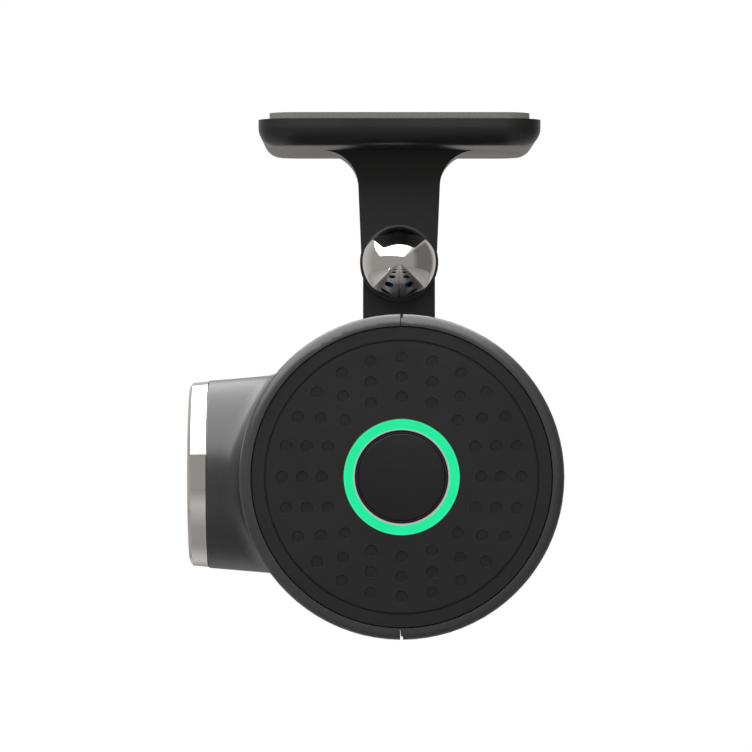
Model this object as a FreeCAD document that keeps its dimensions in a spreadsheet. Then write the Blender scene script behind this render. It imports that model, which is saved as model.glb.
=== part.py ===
"""Cylindrical dash camera on a tilting windscreen mount, as a parametric FreeCAD document.

Frame: millimetres, origin at the centre of the adhesive face, +Z up to the windscreen, -X the way the lens
looks, +Y from the button end to the speaker end. The camera hangs below on one hinge whose axis is along Y.
"""
import FreeCAD, Part
import math
import os
import re
import Sketcher

doc = FreeCAD.newDocument("DashCamera")
sheet = doc.addObject("Spreadsheet::Sheet", "Dims")
# ---------------------------------------------------------------- driving dimensions
sizes = {
    # Mount on the windscreen
    "pad_thickness": 0.8,  # foam tape
    "pad_inset": 1.34,  # edge of the plate to the tape, all round
    "plate_width": 34.0,  # along X
    "plate_length": 38.8,  # along Y
    "plate_height": 3.2,
    "plate_corner": 4.6,  # corner radius seen from above
    "plate_wall": 1.6,  # side wall of the tray
    "plate_floor": 1.4,  # floor of the tray
    "plate_round": 2.2,  # side of the plate into its underside
    "cover_thickness": 1.0,
    "cover_gap": 0.1,  # cover to tray wall
    "cover_screw_x": 10.5,
    "cover_screw_y": 13.0,
    "cover_post_radius": 2.0,
    "small_screw_radius": 0.8,  # shank of every small screw
    "small_head_radius": 1.5,
    "small_head_height": 0.7,
    "screw_gap": 0.1,  # screw to its clearance hole, radial
    # Upper arm and hinge
    "arm_top_width": 10.1,  # upper arm just under the plate, along X
    "arm_end_width": 9.2,  # upper arm at the hinge
    "arm_depth": 11.0,  # upper arm, along Y
    "arm_flare": 3.2,  # radius of the flare into the plate
    "pivot_drop": 17.7,  # adhesive face to hinge axis
    "knuckle_radius": 4.8,
    "collar_rise": 0.4,  # collar under the dome, above the arm's face
    "pin_radius": 1.25,
    "pin_gap": 0.05,  # pin to the lower arm's bore, radial
    "pin_seat_gap": 0.02,  # pin to the ears' bores, radial
    "pin_head_radius": 2.3,
    "pin_head_height": 1.2,
    "pin_head_bevel": 0.48,
    "pin_recess_radius": 4.0,  # recess in the collar
    "pin_recess_depth": 1.0,
    "nut_flats": 5.0,  # across flats
    "nut_height": 1.9,
    "dome_radius": 4.55,
    "dome_skirt_wall": 0.5,
    "dome_skirt_gap": 0.06,
    "dome_skirt_depth": 0.9,
    "tongue_thickness": 5.2,  # lower arm, along Y
    "tongue_gap": 0.3,  # tongue to ear, holds the friction washer
    "washer_thickness": 0.26,
    "washer_radius": 4.1,
    "lower_arm_width": 8.86,  # along X
    "lower_knuckle_radius": 4.55,
    "knuckle_clearance": 0.6,  # over the lower knuckle, in the clevis
    "hinge_over_case": 7.1,  # hinge axis to the top of the case
    "foot_width": 19.2,  # foot of the lower arm, along X
    "foot_depth": 7.2,  # foot, along Y
    "foot_gap": 0.2,  # foot corners to the inside of the case
    "foot_thickness": 2.0,
    "foot_screw_x": 7.6,
    "foot_fillet": 0.8,
    # Case
    "case_radius": 18.0,
    "case_length": 128.0,
    "case_wall": 1.8,
    "lip_width": 1.31,  # rim round each end cap
    "lip_round": 1.1,
    "cap_seat_depth": 2.2,  # end of the case to the shelf that the caps meet
    "cap_recess": 0.2,  # rim to the face of a cap
    "cap_gap": 0.14,  # cap to rim, radial
    "seam_width": 0.31,
    "seam_depth": 0.42,
    "seam_slit": 0.08,  # front shell to the rear shell's tongue
    "arm_opening_gap": 0.2,
    "vent_across": 3.6,
    "vent_along": 2.4,
    "vent_x": 3.6,  # centre of a vent row
    "vent_first": 5.0,  # hinge plane to the first vent
    "vent_pitch": 4.83,
    "vent_count": 5,
    "boss_inset": 1.9,  # inside of the case to the centre of a screw boss
    "boss_angle": 48.0,  # degrees below the horizontal
    "boss_radius": 2.4,
    "boss_length": 5.0,
    "boss_floor": 1.0,  # solid end of a screw boss
    "screw_tip_gap": 0.5,  # tip of a screw to the bottom of its hole
    "overrun": 1.0,  # how far a cut runs past the skin it opens
    # Lens barrel of the front shell and the optics in it, along X from the case axis
    "lens_from_end": 15.9,  # button end to lens axis
    "barrel_proud": 3.7,  # case to the barrel's end
    "barrel_end_radius": 10.64,
    "barrel_root_depth": 6.5,  # how far inside the case the barrel's wall starts
    "barrel_root_radius": 11.5,
    "barrel_bore": 9.5,
    "barrel_fillet": 2.6,  # barrel into the case
    "trim_joint": 0.1,  # dark joint between barrel and trim ring
    "trim_height": 2.1,
    "trim_radius": 10.54,
    "trim_front_radius": 10.37,
    "trim_round": 0.45,
    "trim_inner_radius": 9.0,
    "trim_spigot_wall": 0.42,
    "trim_spigot_length": 2.2,
    "glass_recess": 0.9,  # front of the trim ring to the glass
    "glass_thickness": 1.0,
    "glass_gap": 0.1,
    "bezel_depth": 3.1,
    "bezel_front_radius": 8.3,
    "bezel_back_radius": 7.5,
    "lens_setback": 3.1,  # barrel's end to the front of the lens barrel
    "lens_flange_radius": 7.4,
    "lens_flange_length": 2.6,
    "lens_body_radius": 6.0,
    "lens_length": 9.8,
    "element_radius": 5.6,
    "element_dome": 14.0,  # radius of curvature of the front element
    "element_rise": 0.8,  # front element above the barrel's front
    "element_thickness": 1.4,  # seat depth of the front element
    "inner_element_radius": 4.0,
    "inner_element_setback": 4.0,
    "inner_element_thickness": 2.0,
    "optic_gap": 0.06,
    "retainer_height": 0.5,
    "retainer_bore": 5.1,
    "holder_setback": 5.1,  # front of the lens barrel to its holder
    "holder_collar": 3.5,  # round part of the holder
    "holder_base": 4.4,  # square part of the holder
    "holder_wall": 0.9,
    "holder_half": 7.0,
    "holder_cavity_half": 4.8,
    "holder_cavity_depth": 2.9,
    "sensor_board_thickness": 1.0,
    "sensor_board_width": 22.0,
    "sensor_board_height": 20.0,
    "sensor_width": 7.4,
    "sensor_height": 5.6,
    "sensor_thickness": 0.9,
    "sensor_screw_y": 8.6,
    "sensor_screw_z": 7.6,
    # Button end
    "cap_thickness": 2.0,
    "cap_groove_inset": 2.92,  # case radius to the cap's groove
    "cap_groove_width": 0.22,
    "cap_groove_depth": 0.22,
    "dimple_radius": 0.65,
    "dimple_depth": 0.16,
    "outer_dimples_inset": 4.79,  # case radius to the outer ring of dimples
    "outer_dimples_count": 24,
    "middle_dimples_count": 20,
    "inner_dimples_margin": 2.29,  # light ring to the inner ring of dimples
    "inner_dimples_count": 16,
    "ring_outer_radius": 6.51,
    "ring_inner_radius": 5.19,
    "ring_gap": 0.04,
    "ring_flange_radius": 7.6,
    "ring_flange_height": 0.7,
    "guide_inner_radius": 4.83,
    "guide_length": 1.3,
    "button_gap": 0.08,  # button to its guide, radial
    "button_travel": 0.4,
    "button_bevel": 0.3,
    "button_face_thickness": 0.8,
    "button_flange_radius": 5.1,
    "button_flange_height": 0.5,
    "button_skirt_wall": 0.7,
    "button_post_radius": 1.0,
    "ring_board_radius": 9.6,
    "ring_board_thickness": 0.8,
    "ring_board_drop": 1.2,  # back of the cap to the ring board
    "led_count": 8,
    "led_circle": 6.2,
    "led_side": 1.4,
    "led_height": 0.4,
    "switch_side": 4.4,
    "switch_height": 0.9,
    "plunger_height": 0.27,
    "plunger_radius": 0.8,
    "plunger_clear": 0.05,  # left between post and plunger at full travel
    # Chassis and what it carries, heights from the case axis
    "bulkhead_gap": 0.2,  # bulkhead to the inside of the case
    "bulkhead_thickness": 1.4,
    "deck_top": -5.5,
    "deck_thickness": 1.5,
    "deck_half_width": 12.0,
    "sensor_standoff": 1.4,  # sensor board to the wall behind it
    "lens_wall_thickness": 1.5,
    "lens_wall_half": 11.0,  # half length of that wall, about the lens axis
    "lens_wall_top": 9.5,
    "post_inner_x": 5.6,
    "post_outer_x": 9.4,
    "deck_boss_radius": 1.8,
    "board_gap": 1.5,  # deck to main board
    "board_thickness": 1.0,
    "board_left": 11.0,
    "board_margin": 3.5,  # case radius to the board's socket edge
    "lens_to_board": 14.1,
    "board_to_end": 15.0,  # main board to the speaker end
    "board_screw_left": 7.8,
    "board_screw_right": 11.0,
    "board_screw_inset": 3.2,
    "window_gap": 0.3,  # chassis post to the board's window
    "processor_side": 13.0,
    "processor_thickness": 1.1,
    "thermal_pad_thickness": 0.5,
    "sink_half_width": 8.0,
    "sink_to_board": 7.0,  # near edge of the board to the heat sink
    "sink_far": 4.4,
    "sink_base": 1.6,
    "sink_over_foot": 0.8,  # fins above the arm's foot
    "fin_count": 6,
    "fin_thickness": 1.0,
    "capacitor_room": 2.0,  # case wall and deck clearance about a capacitor
    "capacitor_x": 4.0,
    "capacitor_start": 5.0,
    "capacitor_length": 24.0,
    "capacitor_gap": 0.25,
    "module_width": 12.0,
    "module_length": 16.0,
    "module_x": 5.0,
    "module_inset": 17.0,  # far edge of the board to the module's middle
    "module_board": 0.8,
    "module_can": 1.6,
    "module_can_margin": 0.5,
    "module_aerial": 3.0,  # bare end of the module's board
    "microphone_inset": 8.0,  # near edge of the board to the microphone
    "microphone_edge": 2.3,  # socket edge of the board to the microphone
    "microphone_side": 3.4,
    "microphone_thickness": 1.1,
    "microphone_port": 0.5,
    "socket_gap": 0.3,  # socket to its opening in the shell
    # Card and its socket
    "card_to_usb": 16.8,
    "card_width": 11.0,
    "card_length": 15.0,
    "card_thickness": 0.8,
    "card_notch_length": 6.0,
    "card_notch_width": 1.1,
    "card_grip": 0.75,
    "card_recess": 1.1,  # case radius to the card's outer edge
    "card_slack": 0.15,
    "card_slot_slack": 0.6,  # card to the edge of its slot in the shell
    "card_socket_width": 14.0,
    "card_socket_recess": 2.4,  # case radius to the socket's mouth
    "card_socket_length": 14.2,
    "card_socket_wall": 0.35,
    "card_lip": 0.25,  # grip along the card's outer edge
    "scoop_radius": 7.5,  # finger scoop over the card slot
    "scoop_depth": 0.9,
    "scoop_half_height": 3.0,
    # USB-C inlet
    "usb_inset": 13.0,  # far edge of the board to the inlet
    "usb_width": 8.94,
    "usb_height": 3.2,
    "usb_recess": 1.8,  # case radius to the inlet's mouth
    "usb_length": 7.3,
    "usb_wall": 0.3,
    "usb_back_wall": 1.0,
    "usb_tongue_width": 6.6,
    "usb_tongue_thickness": 0.7,
    "usb_tongue_length": 4.4,
    # Speaker end
    "speaker_margin": 6.2,  # inside of the case to the speaker's rim
    "speaker_rim_height": 1.2,
    "speaker_rim_width": 1.4,
    "speaker_height": 5.4,
    "speaker_land": 1.0,  # speaker's rim to the opening before it
    "speaker_gap": 0.2,
    "sound_slot_width": 1.2,
    "sound_slot_length": 4.2,
    "sound_slot_middle": 5.6,  # case axis to the middle of a slot
    "sound_slot_count": 16,
}

for row, (alias, millimetres) in enumerate(sizes.items(), start=1):
    sheet.set("A%d" % row, alias)
    sheet.set("B%d" % row, str(millimetres))
    sheet.setAlias("B%d" % row, alias)
doc.recompute()

# Places worked out from the driving dimensions
AXIS_DROP = "(case_radius + hinge_over_case)"
AXIS_Z = "-(pivot_drop + case_radius + hinge_over_case)"
PLATE_TOP = "-pad_thickness"
PLATE_BOTTOM = "-(pad_thickness + plate_height)"
COLLAR_FACE = "(arm_depth / 2 + collar_rise)"
RECESS_FLOOR = "(arm_depth / 2 + collar_rise - pin_recess_depth)"
EAR_FACE = "(tongue_thickness / 2 + tongue_gap)"
INSIDE_RADIUS = "(case_radius - case_wall)"
FOOT_TOP = "sqrt((case_radius - case_wall - foot_gap) ^ 2 - (foot_width / 2) ^ 2)"
FOOT_UNDER = "(" + FOOT_TOP + " - foot_thickness)"
CASE_END = "(case_length / 2)"
SHELF = "(case_length / 2 - cap_seat_depth)"
CAP_FACE = "(case_length / 2 - cap_recess)"
CAP_BACK = "(case_length / 2 - cap_recess - cap_thickness)"
BULKHEAD_BACK = "(case_length / 2 - cap_seat_depth - bulkhead_thickness)"
BOSS_X = "((case_radius - case_wall - boss_inset) * cos(boss_angle))"
BOSS_Z = "-((case_radius - case_wall - boss_inset) * sin(boss_angle))"
HOLE = "(small_screw_radius + screw_gap)"

LENS_Y = "(case_length / 2 - lens_from_end)"
BARREL_REACH = "(case_radius + barrel_proud)"
BARREL_ROOT = "(case_radius - barrel_root_depth)"
TRIM_BACK = "(case_radius + barrel_proud + trim_joint)"
TRIM_FRONT = "(case_radius + barrel_proud + trim_joint + trim_height)"
GLASS_FRONT = "(" + TRIM_FRONT + " - glass_recess)"
GLASS_BACK = "(" + TRIM_FRONT + " - glass_recess - glass_thickness)"
BEZEL_RADIUS = "(trim_inner_radius - glass_gap)"
LENS_FRONT = "(case_radius + barrel_proud - lens_setback)"
LENS_BACK = "(" + LENS_FRONT + " - lens_length)"
HOLDER_FRONT = "(" + LENS_FRONT + " - holder_setback)"
HOLDER_STEP = "(" + HOLDER_FRONT + " - holder_collar)"
SENSOR_FACE = "(" + HOLDER_STEP + " - holder_base)"
SENSOR_BACK = "(" + SENSOR_FACE + " - sensor_board_thickness)"
LENS_WALL_FACE = "(" + SENSOR_BACK + " - sensor_standoff)"

GROOVE_RADIUS = "(case_radius - cap_groove_inset)"
OUTER_DIMPLES = "(case_radius - outer_dimples_inset)"
INNER_DIMPLES = "(ring_outer_radius + inner_dimples_margin)"
MIDDLE_DIMPLES = "((" + OUTER_DIMPLES + " + " + INNER_DIMPLES + ") / 2)"
RING_BOARD_FRONT = "(" + CAP_BACK + " - ring_board_drop)"
RING_BOARD_BACK = "(" + RING_BOARD_FRONT + " - ring_board_thickness)"
GUIDE_BACK = "(" + CAP_FACE + " - guide_length)"
BUTTON_RADIUS = "(guide_inner_radius - button_gap)"
SWITCH_TOP = "(" + RING_BOARD_FRONT + " + switch_height)"

DECK_UNDER = "(deck_top - deck_thickness)"
BOARD_UNDER = "(deck_top + board_gap)"
BOARD_TOP = "(deck_top + board_gap + board_thickness)"
BOARD_RIGHT = "(case_radius - board_margin)"
BOARD_NEAR = "(" + LENS_Y + " - lens_to_board)"
BOARD_FAR = "(case_length / 2 - board_to_end)"
SINK_NEAR = "(" + BOARD_NEAR + " - sink_to_board)"
SINK_MIDDLE = "((" + SINK_NEAR + " + sink_far) / 2)"
PROCESSOR_TOP = "(" + BOARD_TOP + " + processor_thickness)"
SINK_UNDER = "(" + PROCESSOR_TOP + " + thermal_pad_thickness)"
CAPACITOR_RADIUS = "((" + INSIDE_RADIUS + " + " + DECK_UNDER + " - capacitor_room) / 2)"
USB_Y = "(" + BOARD_FAR + " - usb_inset)"
USB_Z = "(" + BOARD_TOP + " + usb_height / 2)"
USB_FRONT = "(case_radius - usb_recess)"
CARD_Y = "(" + USB_Y + " - card_to_usb)"
CARD_NOSE = "(case_radius - card_recess)"
CARD_SOCKET_FRONT = "(case_radius - card_socket_recess)"
CARD_SOCKET_HEIGHT = "(card_thickness + 2 * card_slack + 2 * card_socket_wall)"
CARD_Z = "(" + BOARD_TOP + " + " + CARD_SOCKET_HEIGHT + " / 2)"
SPEAKER_RADIUS = "(" + INSIDE_RADIUS + " - speaker_margin)"


# ---------------------------------------------------------------- helpers
def named(expression):
    """Puts the sheet's name before each alias, so that an expression can be written in plain words."""
    return re.sub(r"[A-Za-z_]\w*", lambda word: "Dims." + word[0] if word[0] in sizes else word[0], expression)


def bind(item, path, expression):
    item.setExpression(path, named(expression))


def value(expression):
    return float(sheet.evalExpression(named(expression)))


def new_body(name, y="0", z=AXIS_Z):
    """A piece in its own body; the camera's pieces are drawn about the case axis, which AXIS_Z lowers."""
    body = doc.addObject("PartDesign::Body", name)
    body.Label = name
    bind(body, "Placement.Base.y", y)
    bind(body, "Placement.Base.z", z)
    return body


def origin_part(body, role):
    return next(feature for feature in body.Origin.OriginFeatures if feature.Role == role)


class Profile:
    """A sketch square to one axis of its body, which reaches from low to high along that axis.

    Across X it is drawn in (y, z), across Y in (x, z) and across Z in (x, y).
    """

    planes = {"X": "YZ_Plane", "Y": "XZ_Plane", "Z": "XY_Plane"}

    def __init__(self, body, axis, low="0", high="0"):
        self.body = body
        self.length = "(" + high + ") - (" + low + ")"
        self.sketch = body.newObject("Sketcher::SketchObject", body.Name + "_sketch")
        self.sketch.AttachmentSupport = [(origin_part(body, self.planes[axis]), "")]
        self.sketch.MapMode = "FlatFace"
        start = "-(" + high + ")" if axis == "Y" else low
        bind(self.sketch, "AttachmentOffset.Base.z", start)

    def fix(self, geometry, point, x, y):
        """Holds one point of the sketch at x, y from its origin."""
        for kind, place in (("DistanceX", x), ("DistanceY", y)):
            row = self.sketch.addConstraint(
                Sketcher.Constraint(kind, -1, 1, geometry, point, value(place)))
            bind(self.sketch, "Constraints[%d]" % row, place)

    def radius(self, geometry, radius):
        row = self.sketch.addConstraint(Sketcher.Constraint("Radius", geometry, value(radius)))
        bind(self.sketch, "Constraints[%d]" % row, radius)

    def circle(self, radius, x="0", y="0"):
        centre = FreeCAD.Vector(value(x), value(y), 0)
        circle = Part.Circle(centre, FreeCAD.Vector(0, 0, 1), value(radius))
        geometry = self.sketch.addGeometry(circle, False)
        self.fix(geometry, 3, x, y)
        self.radius(geometry, radius)
        return self

    def outline(self, *corners):
        """A closed outline. A corner is (x, y), or (x, y, radius, turn) when an arc leads to it."""
        points = [FreeCAD.Vector(value(corner[0]), value(corner[1]), 0) for corner in corners]
        first = None
        for index, corner in enumerate(corners):
            start, end = points[index - 1], points[index]
            if len(corner) == 4:
                edge = arc_between(start, end, value(corner[2]), corner[3])
            else:
                edge = Part.LineSegment(start, end)
            geometry = self.sketch.addGeometry(edge, False)
            first = geometry if first is None else first
            tail, head = (1, 2) if len(corner) == 2 or corner[3] > 0 else (2, 1)
            if index:
                self.sketch.addConstraint(
                    Sketcher.Constraint("Coincident", last, last_head, geometry, tail))
            else:
                first_tail = tail
            self.fix(geometry, head, corner[0], corner[1])
            if len(corner) == 4:
                self.radius(geometry, corner[2])
            last, last_head = geometry, head
        self.sketch.addConstraint(Sketcher.Constraint("Coincident", last, last_head, first, first_tail))
        return self

    def box(self, left, right, bottom, top):
        return self.outline((left, bottom), (right, bottom), (right, top), (left, top))

    def rounded_box(self, left, right, bottom, top, corner):
        inner_left = "(" + left + ") + (" + corner + ")"
        inner_right = "(" + right + ") - (" + corner + ")"
        inner_bottom = "(" + bottom + ") + (" + corner + ")"
        inner_top = "(" + top + ") - (" + corner + ")"
        return self.outline(
            (inner_right, bottom), (right, inner_bottom, corner, 1),
            (right, inner_top), (inner_right, top, corner, 1),
            (inner_left, top), (left, inner_top, corner, 1),
            (left, inner_bottom), (inner_left, bottom, corner, 1))

    def obround(self, x, y, width, height):
        """A slot with round ends, its long side along the sketch's x."""
        ends = []
        radius = "(" + height + ") / 2"
        for side in (1, -1):
            middle = "(%s) + %d * ((%s) - (%s)) / 2" % (x, side, width, height)
            centre = FreeCAD.Vector(value(middle), value(y), 0)
            circle = Part.Circle(centre, FreeCAD.Vector(0, 0, 1), value(radius))
            turn = -math.pi / 2 if side > 0 else math.pi / 2
            arc = self.sketch.addGeometry(Part.ArcOfCircle(circle, turn, turn + math.pi), False)
            self.fix(arc, 3, middle, y)
            self.radius(arc, radius)
            for point in (1, 2):
                self.sketch.addConstraint(Sketcher.Constraint("Vertical", arc, 3, arc, point))
            ends.append(arc)
        for near, far in ((ends[0], ends[1]), (ends[1], ends[0])):
            start = self.sketch.getPoint(near, 2)
            end = self.sketch.getPoint(far, 1)
            line = self.sketch.addGeometry(Part.LineSegment(start, end), False)
            self.sketch.addConstraint(Sketcher.Constraint("Coincident", line, 1, near, 2))
            self.sketch.addConstraint(Sketcher.Constraint("Coincident", line, 2, far, 1))
        return self

    def pad(self):
        return self.feature("PartDesign::Pad", True)

    def pocket(self):
        before = self.body.Shape.Volume
        pocket = self.feature("PartDesign::Pocket", True, reverse=True)
        if pocket.Shape.Volume >= before:
            raise ValueError(self.body.Label + ": a pocket cuts nothing")
        return pocket

    def revolve(self, axis):
        revolution = self.feature("PartDesign::Revolution", False)
        revolution.ReferenceAxis = (origin_part(self.body, axis + "_Axis"), [""])
        return built(revolution)

    def groove(self, axis):
        before = self.body.Shape.Volume
        groove = self.feature("PartDesign::Groove", False)
        groove.ReferenceAxis = (origin_part(self.body, axis + "_Axis"), [""])
        if built(groove).Shape.Volume >= before:
            raise ValueError(self.body.Label + ": a groove cuts nothing")
        return groove

    def feature(self, kind, has_length, reverse=False):
        feature = self.body.newObject(kind, self.body.Name + "_" + kind.split("::")[1].lower())
        feature.Profile = self.sketch
        if has_length:
            bind(feature, "Length", self.length)
            feature.Reversed = reverse
            built(feature)
        return feature


def arc_between(start, end, radius, turn):
    """The shorter arc from start to end; turn is 1 anticlockwise and -1 clockwise."""
    chord = end - start
    rise = math.sqrt(max(radius ** 2 - (chord.Length / 2) ** 2, 0))
    across = FreeCAD.Vector(-chord.y, chord.x, 0).normalize()
    centre = (start + end) * 0.5 + across * (rise * turn)
    first, last = (start, end) if turn > 0 else (end, start)
    angles = [math.atan2(point.y - centre.y, point.x - centre.x) for point in (first, last)]
    circle = Part.Circle(centre, FreeCAD.Vector(0, 0, 1), radius)
    return Part.ArcOfCircle(circle, angles[0], angles[1])


def pattern(body, kind, feature, settings, bound):
    """Repeats a feature round or along the body; settings are fixed, bound follow the sheet."""
    repeat = body.newObject("PartDesign::" + kind, body.Name + "_" + kind.lower())
    repeat.Originals = [feature]
    for name, setting in settings.items():
        setattr(repeat, name, setting)
    for name, expression in bound.items():
        bind(repeat, name, expression)
    body.Tip = repeat
    return built(repeat)


def polar(body, feature, axis, count):
    settings = {"Axis": (origin_part(body, axis + "_Axis"), [""]), "Angle": 360}
    return pattern(body, "PolarPattern", feature, settings, {"Occurrences": count})


def linear(body, feature, axis, count, length, backwards=False):
    settings = {"Direction": (origin_part(body, axis + "_Axis"), [""]), "Reversed": backwards}
    return pattern(body, "LinearPattern", feature, settings, {"Occurrences": count, "Length": length})


def dress(body, kind, chosen, **bound):
    """A fillet or a chamfer on the edges of the tip that chosen(edge) picks."""
    base = body.Tip
    picked = ["Edge%d" % (index + 1) for index, edge in enumerate(base.Shape.Edges) if chosen(edge)]
    if not picked:
        raise ValueError(body.Label + ": no edge for its " + kind)
    dressing = body.newObject("PartDesign::" + kind, body.Name + "_" + kind.lower())
    dressing.Base = (base, picked)
    if kind == "Chamfer" and "Size2" in bound:
        dressing.ChamferType = "Two distances"
    for name, expression in bound.items():
        bind(dressing, name, expression)
    return built(dressing)


def built(feature):
    """Recomputes and stops at the first feature that has failed."""
    doc.recompute()
    if "Invalid" in feature.State or feature.Shape.isNull():
        raise ValueError(feature.Name + " failed: " + feature.getStatusString())
    return feature


def near(first, second):
    return abs(first - second) < 1e-4


def lies_at(edge, axis, place):
    """True when the whole edge lies at one place along an axis of the body."""
    box = edge.BoundBox
    low, high = {"x": (box.XMin, box.XMax), "y": (box.YMin, box.YMax), "z": (box.ZMin, box.ZMax)}[axis]
    return near(low, value(place)) and near(high, value(place))


def round_edge(edge, radius):
    return isinstance(edge.Curve, Part.Circle) and near(edge.Curve.Radius, value(radius))


def both_signs(expression):
    return (expression, "-(" + expression + ")")


# ---------------------------------------------------------------- mount
def adhesive_pad():
    body = new_body("adhesive_pad", z="0")
    half_x = "(plate_width / 2 - pad_inset)"
    half_y = "(plate_length / 2 - pad_inset)"
    tape = Profile(body, "Z", PLATE_TOP, "0")
    tape.rounded_box("-" + half_x, half_x, "-" + half_y, half_y, "(plate_corner - pad_inset)").pad()


def mount_bracket():
    """Tray, flared upper arm and clevis in one moulding."""
    body = new_body("mount_bracket", z="0")
    tray = Profile(body, "Z", PLATE_BOTTOM, PLATE_TOP)
    tray.rounded_box("-plate_width / 2", "plate_width / 2", "-plate_length / 2", "plate_length / 2",
                     "plate_corner").pad()
    dress(body, "Fillet", lambda edge: lies_at(edge, "z", PLATE_BOTTOM), Radius="plate_round")

    arm = Profile(body, "Y", "-arm_depth / 2", "arm_depth / 2")
    flare_start = PLATE_BOTTOM + " - arm_flare"
    in_floor = PLATE_BOTTOM + " + plate_floor / 2"
    wing = "(arm_top_width / 2 + arm_flare)"
    arm.outline(("-arm_end_width / 2", "-pivot_drop"), ("arm_end_width / 2", "-pivot_drop"),
                ("arm_top_width / 2", flare_start), (wing, PLATE_BOTTOM, "arm_flare", -1),
                (wing, in_floor), ("-" + wing, in_floor), ("-" + wing, PLATE_BOTTOM),
                ("-arm_top_width / 2", flare_start, "arm_flare", -1)).pad()
    knuckle = Profile(body, "Y", "-" + COLLAR_FACE, COLLAR_FACE)
    knuckle.circle("knuckle_radius", "0", "-pivot_drop").pad()

    hollow = Profile(body, "Z", PLATE_BOTTOM + " + plate_floor", PLATE_TOP)
    half_x = "(plate_width / 2 - plate_wall)"
    half_y = "(plate_length / 2 - plate_wall)"
    hollow.rounded_box("-" + half_x, half_x, "-" + half_y, half_y, "(plate_corner - plate_wall)").pocket()
    posts = Profile(body, "Z", PLATE_BOTTOM + " + plate_floor / 2", PLATE_TOP + " - cover_thickness")
    holes = Profile(body, "Z", PLATE_BOTTOM + " + plate_floor / 2", PLATE_TOP + " - cover_thickness")
    for x in both_signs("cover_screw_x"):
        for y in both_signs("cover_screw_y"):
            posts.circle("cover_post_radius", x, y)
            holes.circle("small_screw_radius", x, y)
    posts.pad()
    holes.pocket()

    slot = Profile(body, "Y", "-" + EAR_FACE, EAR_FACE)
    slot.box("-2 * knuckle_radius", "2 * knuckle_radius", "-pivot_drop - 2 * knuckle_radius",
             "-pivot_drop + lower_knuckle_radius + knuckle_clearance").pocket()
    bore = Profile(body, "Y", "-" + COLLAR_FACE, COLLAR_FACE)
    bore.circle("pin_radius + pin_seat_gap", "0", "-pivot_drop").pocket()
    for low, high in ((RECESS_FLOOR, COLLAR_FACE), ("-" + COLLAR_FACE, "-" + RECESS_FLOOR)):
        Profile(body, "Y", low, high).circle("pin_recess_radius", "0", "-pivot_drop").pocket()


def mount_cover():
    body = new_body("mount_cover", z="0")
    half_x = "(plate_width / 2 - plate_wall - cover_gap)"
    half_y = "(plate_length / 2 - plate_wall - cover_gap)"
    lid = Profile(body, "Z", PLATE_TOP + " - cover_thickness", PLATE_TOP)
    lid.rounded_box("-" + half_x, half_x, "-" + half_y, half_y, "(plate_corner - plate_wall - cover_gap)").pad()
    holes = Profile(body, "Z", PLATE_TOP + " - cover_thickness", PLATE_TOP)
    heads = Profile(body, "Z", PLATE_TOP + " - small_head_height", PLATE_TOP)
    for x in both_signs("cover_screw_x"):
        for y in both_signs("cover_screw_y"):
            holes.circle(HOLE, x, y)
            heads.circle("small_head_radius + screw_gap", x, y)
    holes.pocket()
    heads.pocket()


def screws(name, axis, places, head_low, head_high, shank_low, shank_high, z=AXIS_Z):
    """One group of equal screws along an axis, each a head and a shank."""
    body = new_body(name, z=z)
    heads = Profile(body, axis, head_low, head_high)
    shanks = Profile(body, axis, shank_low, shank_high)
    for x, y in places:
        heads.circle("small_head_radius", x, y)
        shanks.circle("small_screw_radius", x, y)
    heads.pad()
    shanks.pad()


def corners(x, y):
    return [(one, two) for one in both_signs(x) for two in both_signs(y)]


def hinge_pin():
    """Pan-head pin through both ears; the nut closes its far end."""
    body = new_body("hinge_pin", z="-pivot_drop")
    Profile(body, "Z").outline(
        ("0", "-" + RECESS_FLOOR + " - pin_head_height"),
        ("pin_head_radius - pin_head_bevel", "-" + RECESS_FLOOR + " - pin_head_height"),
        ("pin_head_radius", "-" + RECESS_FLOOR + " - pin_head_height / 2"),
        ("pin_head_radius", "-" + RECESS_FLOOR),
        ("pin_radius", "-" + RECESS_FLOOR),
        ("pin_radius", RECESS_FLOOR + " + nut_height"),
        ("0", RECESS_FLOOR + " + nut_height")).revolve("Y")


def hinge_nut():
    body = new_body("hinge_nut", z="-pivot_drop")
    nut = Profile(body, "Y", RECESS_FLOOR, RECESS_FLOOR + " + nut_height")
    across = "(nut_flats / sqrt(3))"
    nut.outline((across, "0"), (across + " / 2", "nut_flats / 2"), ("-" + across + " / 2", "nut_flats / 2"),
                ("-" + across, "0"), ("-" + across + " / 2", "-nut_flats / 2"),
                (across + " / 2", "-nut_flats / 2"))
    nut.circle("pin_radius").pad()


def hinge_cap(name, side):
    """Chromed half ball with a skirt that snaps into the collar's recess."""
    body = new_body(name, z="-pivot_drop")
    sign = "" if side > 0 else "-"
    skirt_out = "(pin_recess_radius - dome_skirt_gap)"
    skirt_in = "(pin_recess_radius - dome_skirt_gap - dome_skirt_wall)"
    face = "%d * %s" % (side, COLLAR_FACE)
    tip = "%d * (%s + dome_radius)" % (side, COLLAR_FACE)
    skirt_end = "%d * (%s - dome_skirt_depth)" % (side, COLLAR_FACE)
    hollow = "%d * (%s + dome_radius / 3)" % (side, COLLAR_FACE)
    Profile(body, "Z").outline(
        ("dome_radius", face), ("0", tip, "dome_radius", side), ("0", hollow), (skirt_in, hollow),
        (skirt_in, skirt_end), (skirt_out, skirt_end), (skirt_out, face)).revolve("Y")


def friction_washers():
    body = new_body("friction_washers", z="-pivot_drop")
    for low, high in (("-" + EAR_FACE, "-" + EAR_FACE + " + washer_thickness"),
                      (EAR_FACE + " - washer_thickness", EAR_FACE)):
        Profile(body, "Y", low, high).circle("washer_radius").circle("pin_radius + pin_gap").pad()


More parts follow.
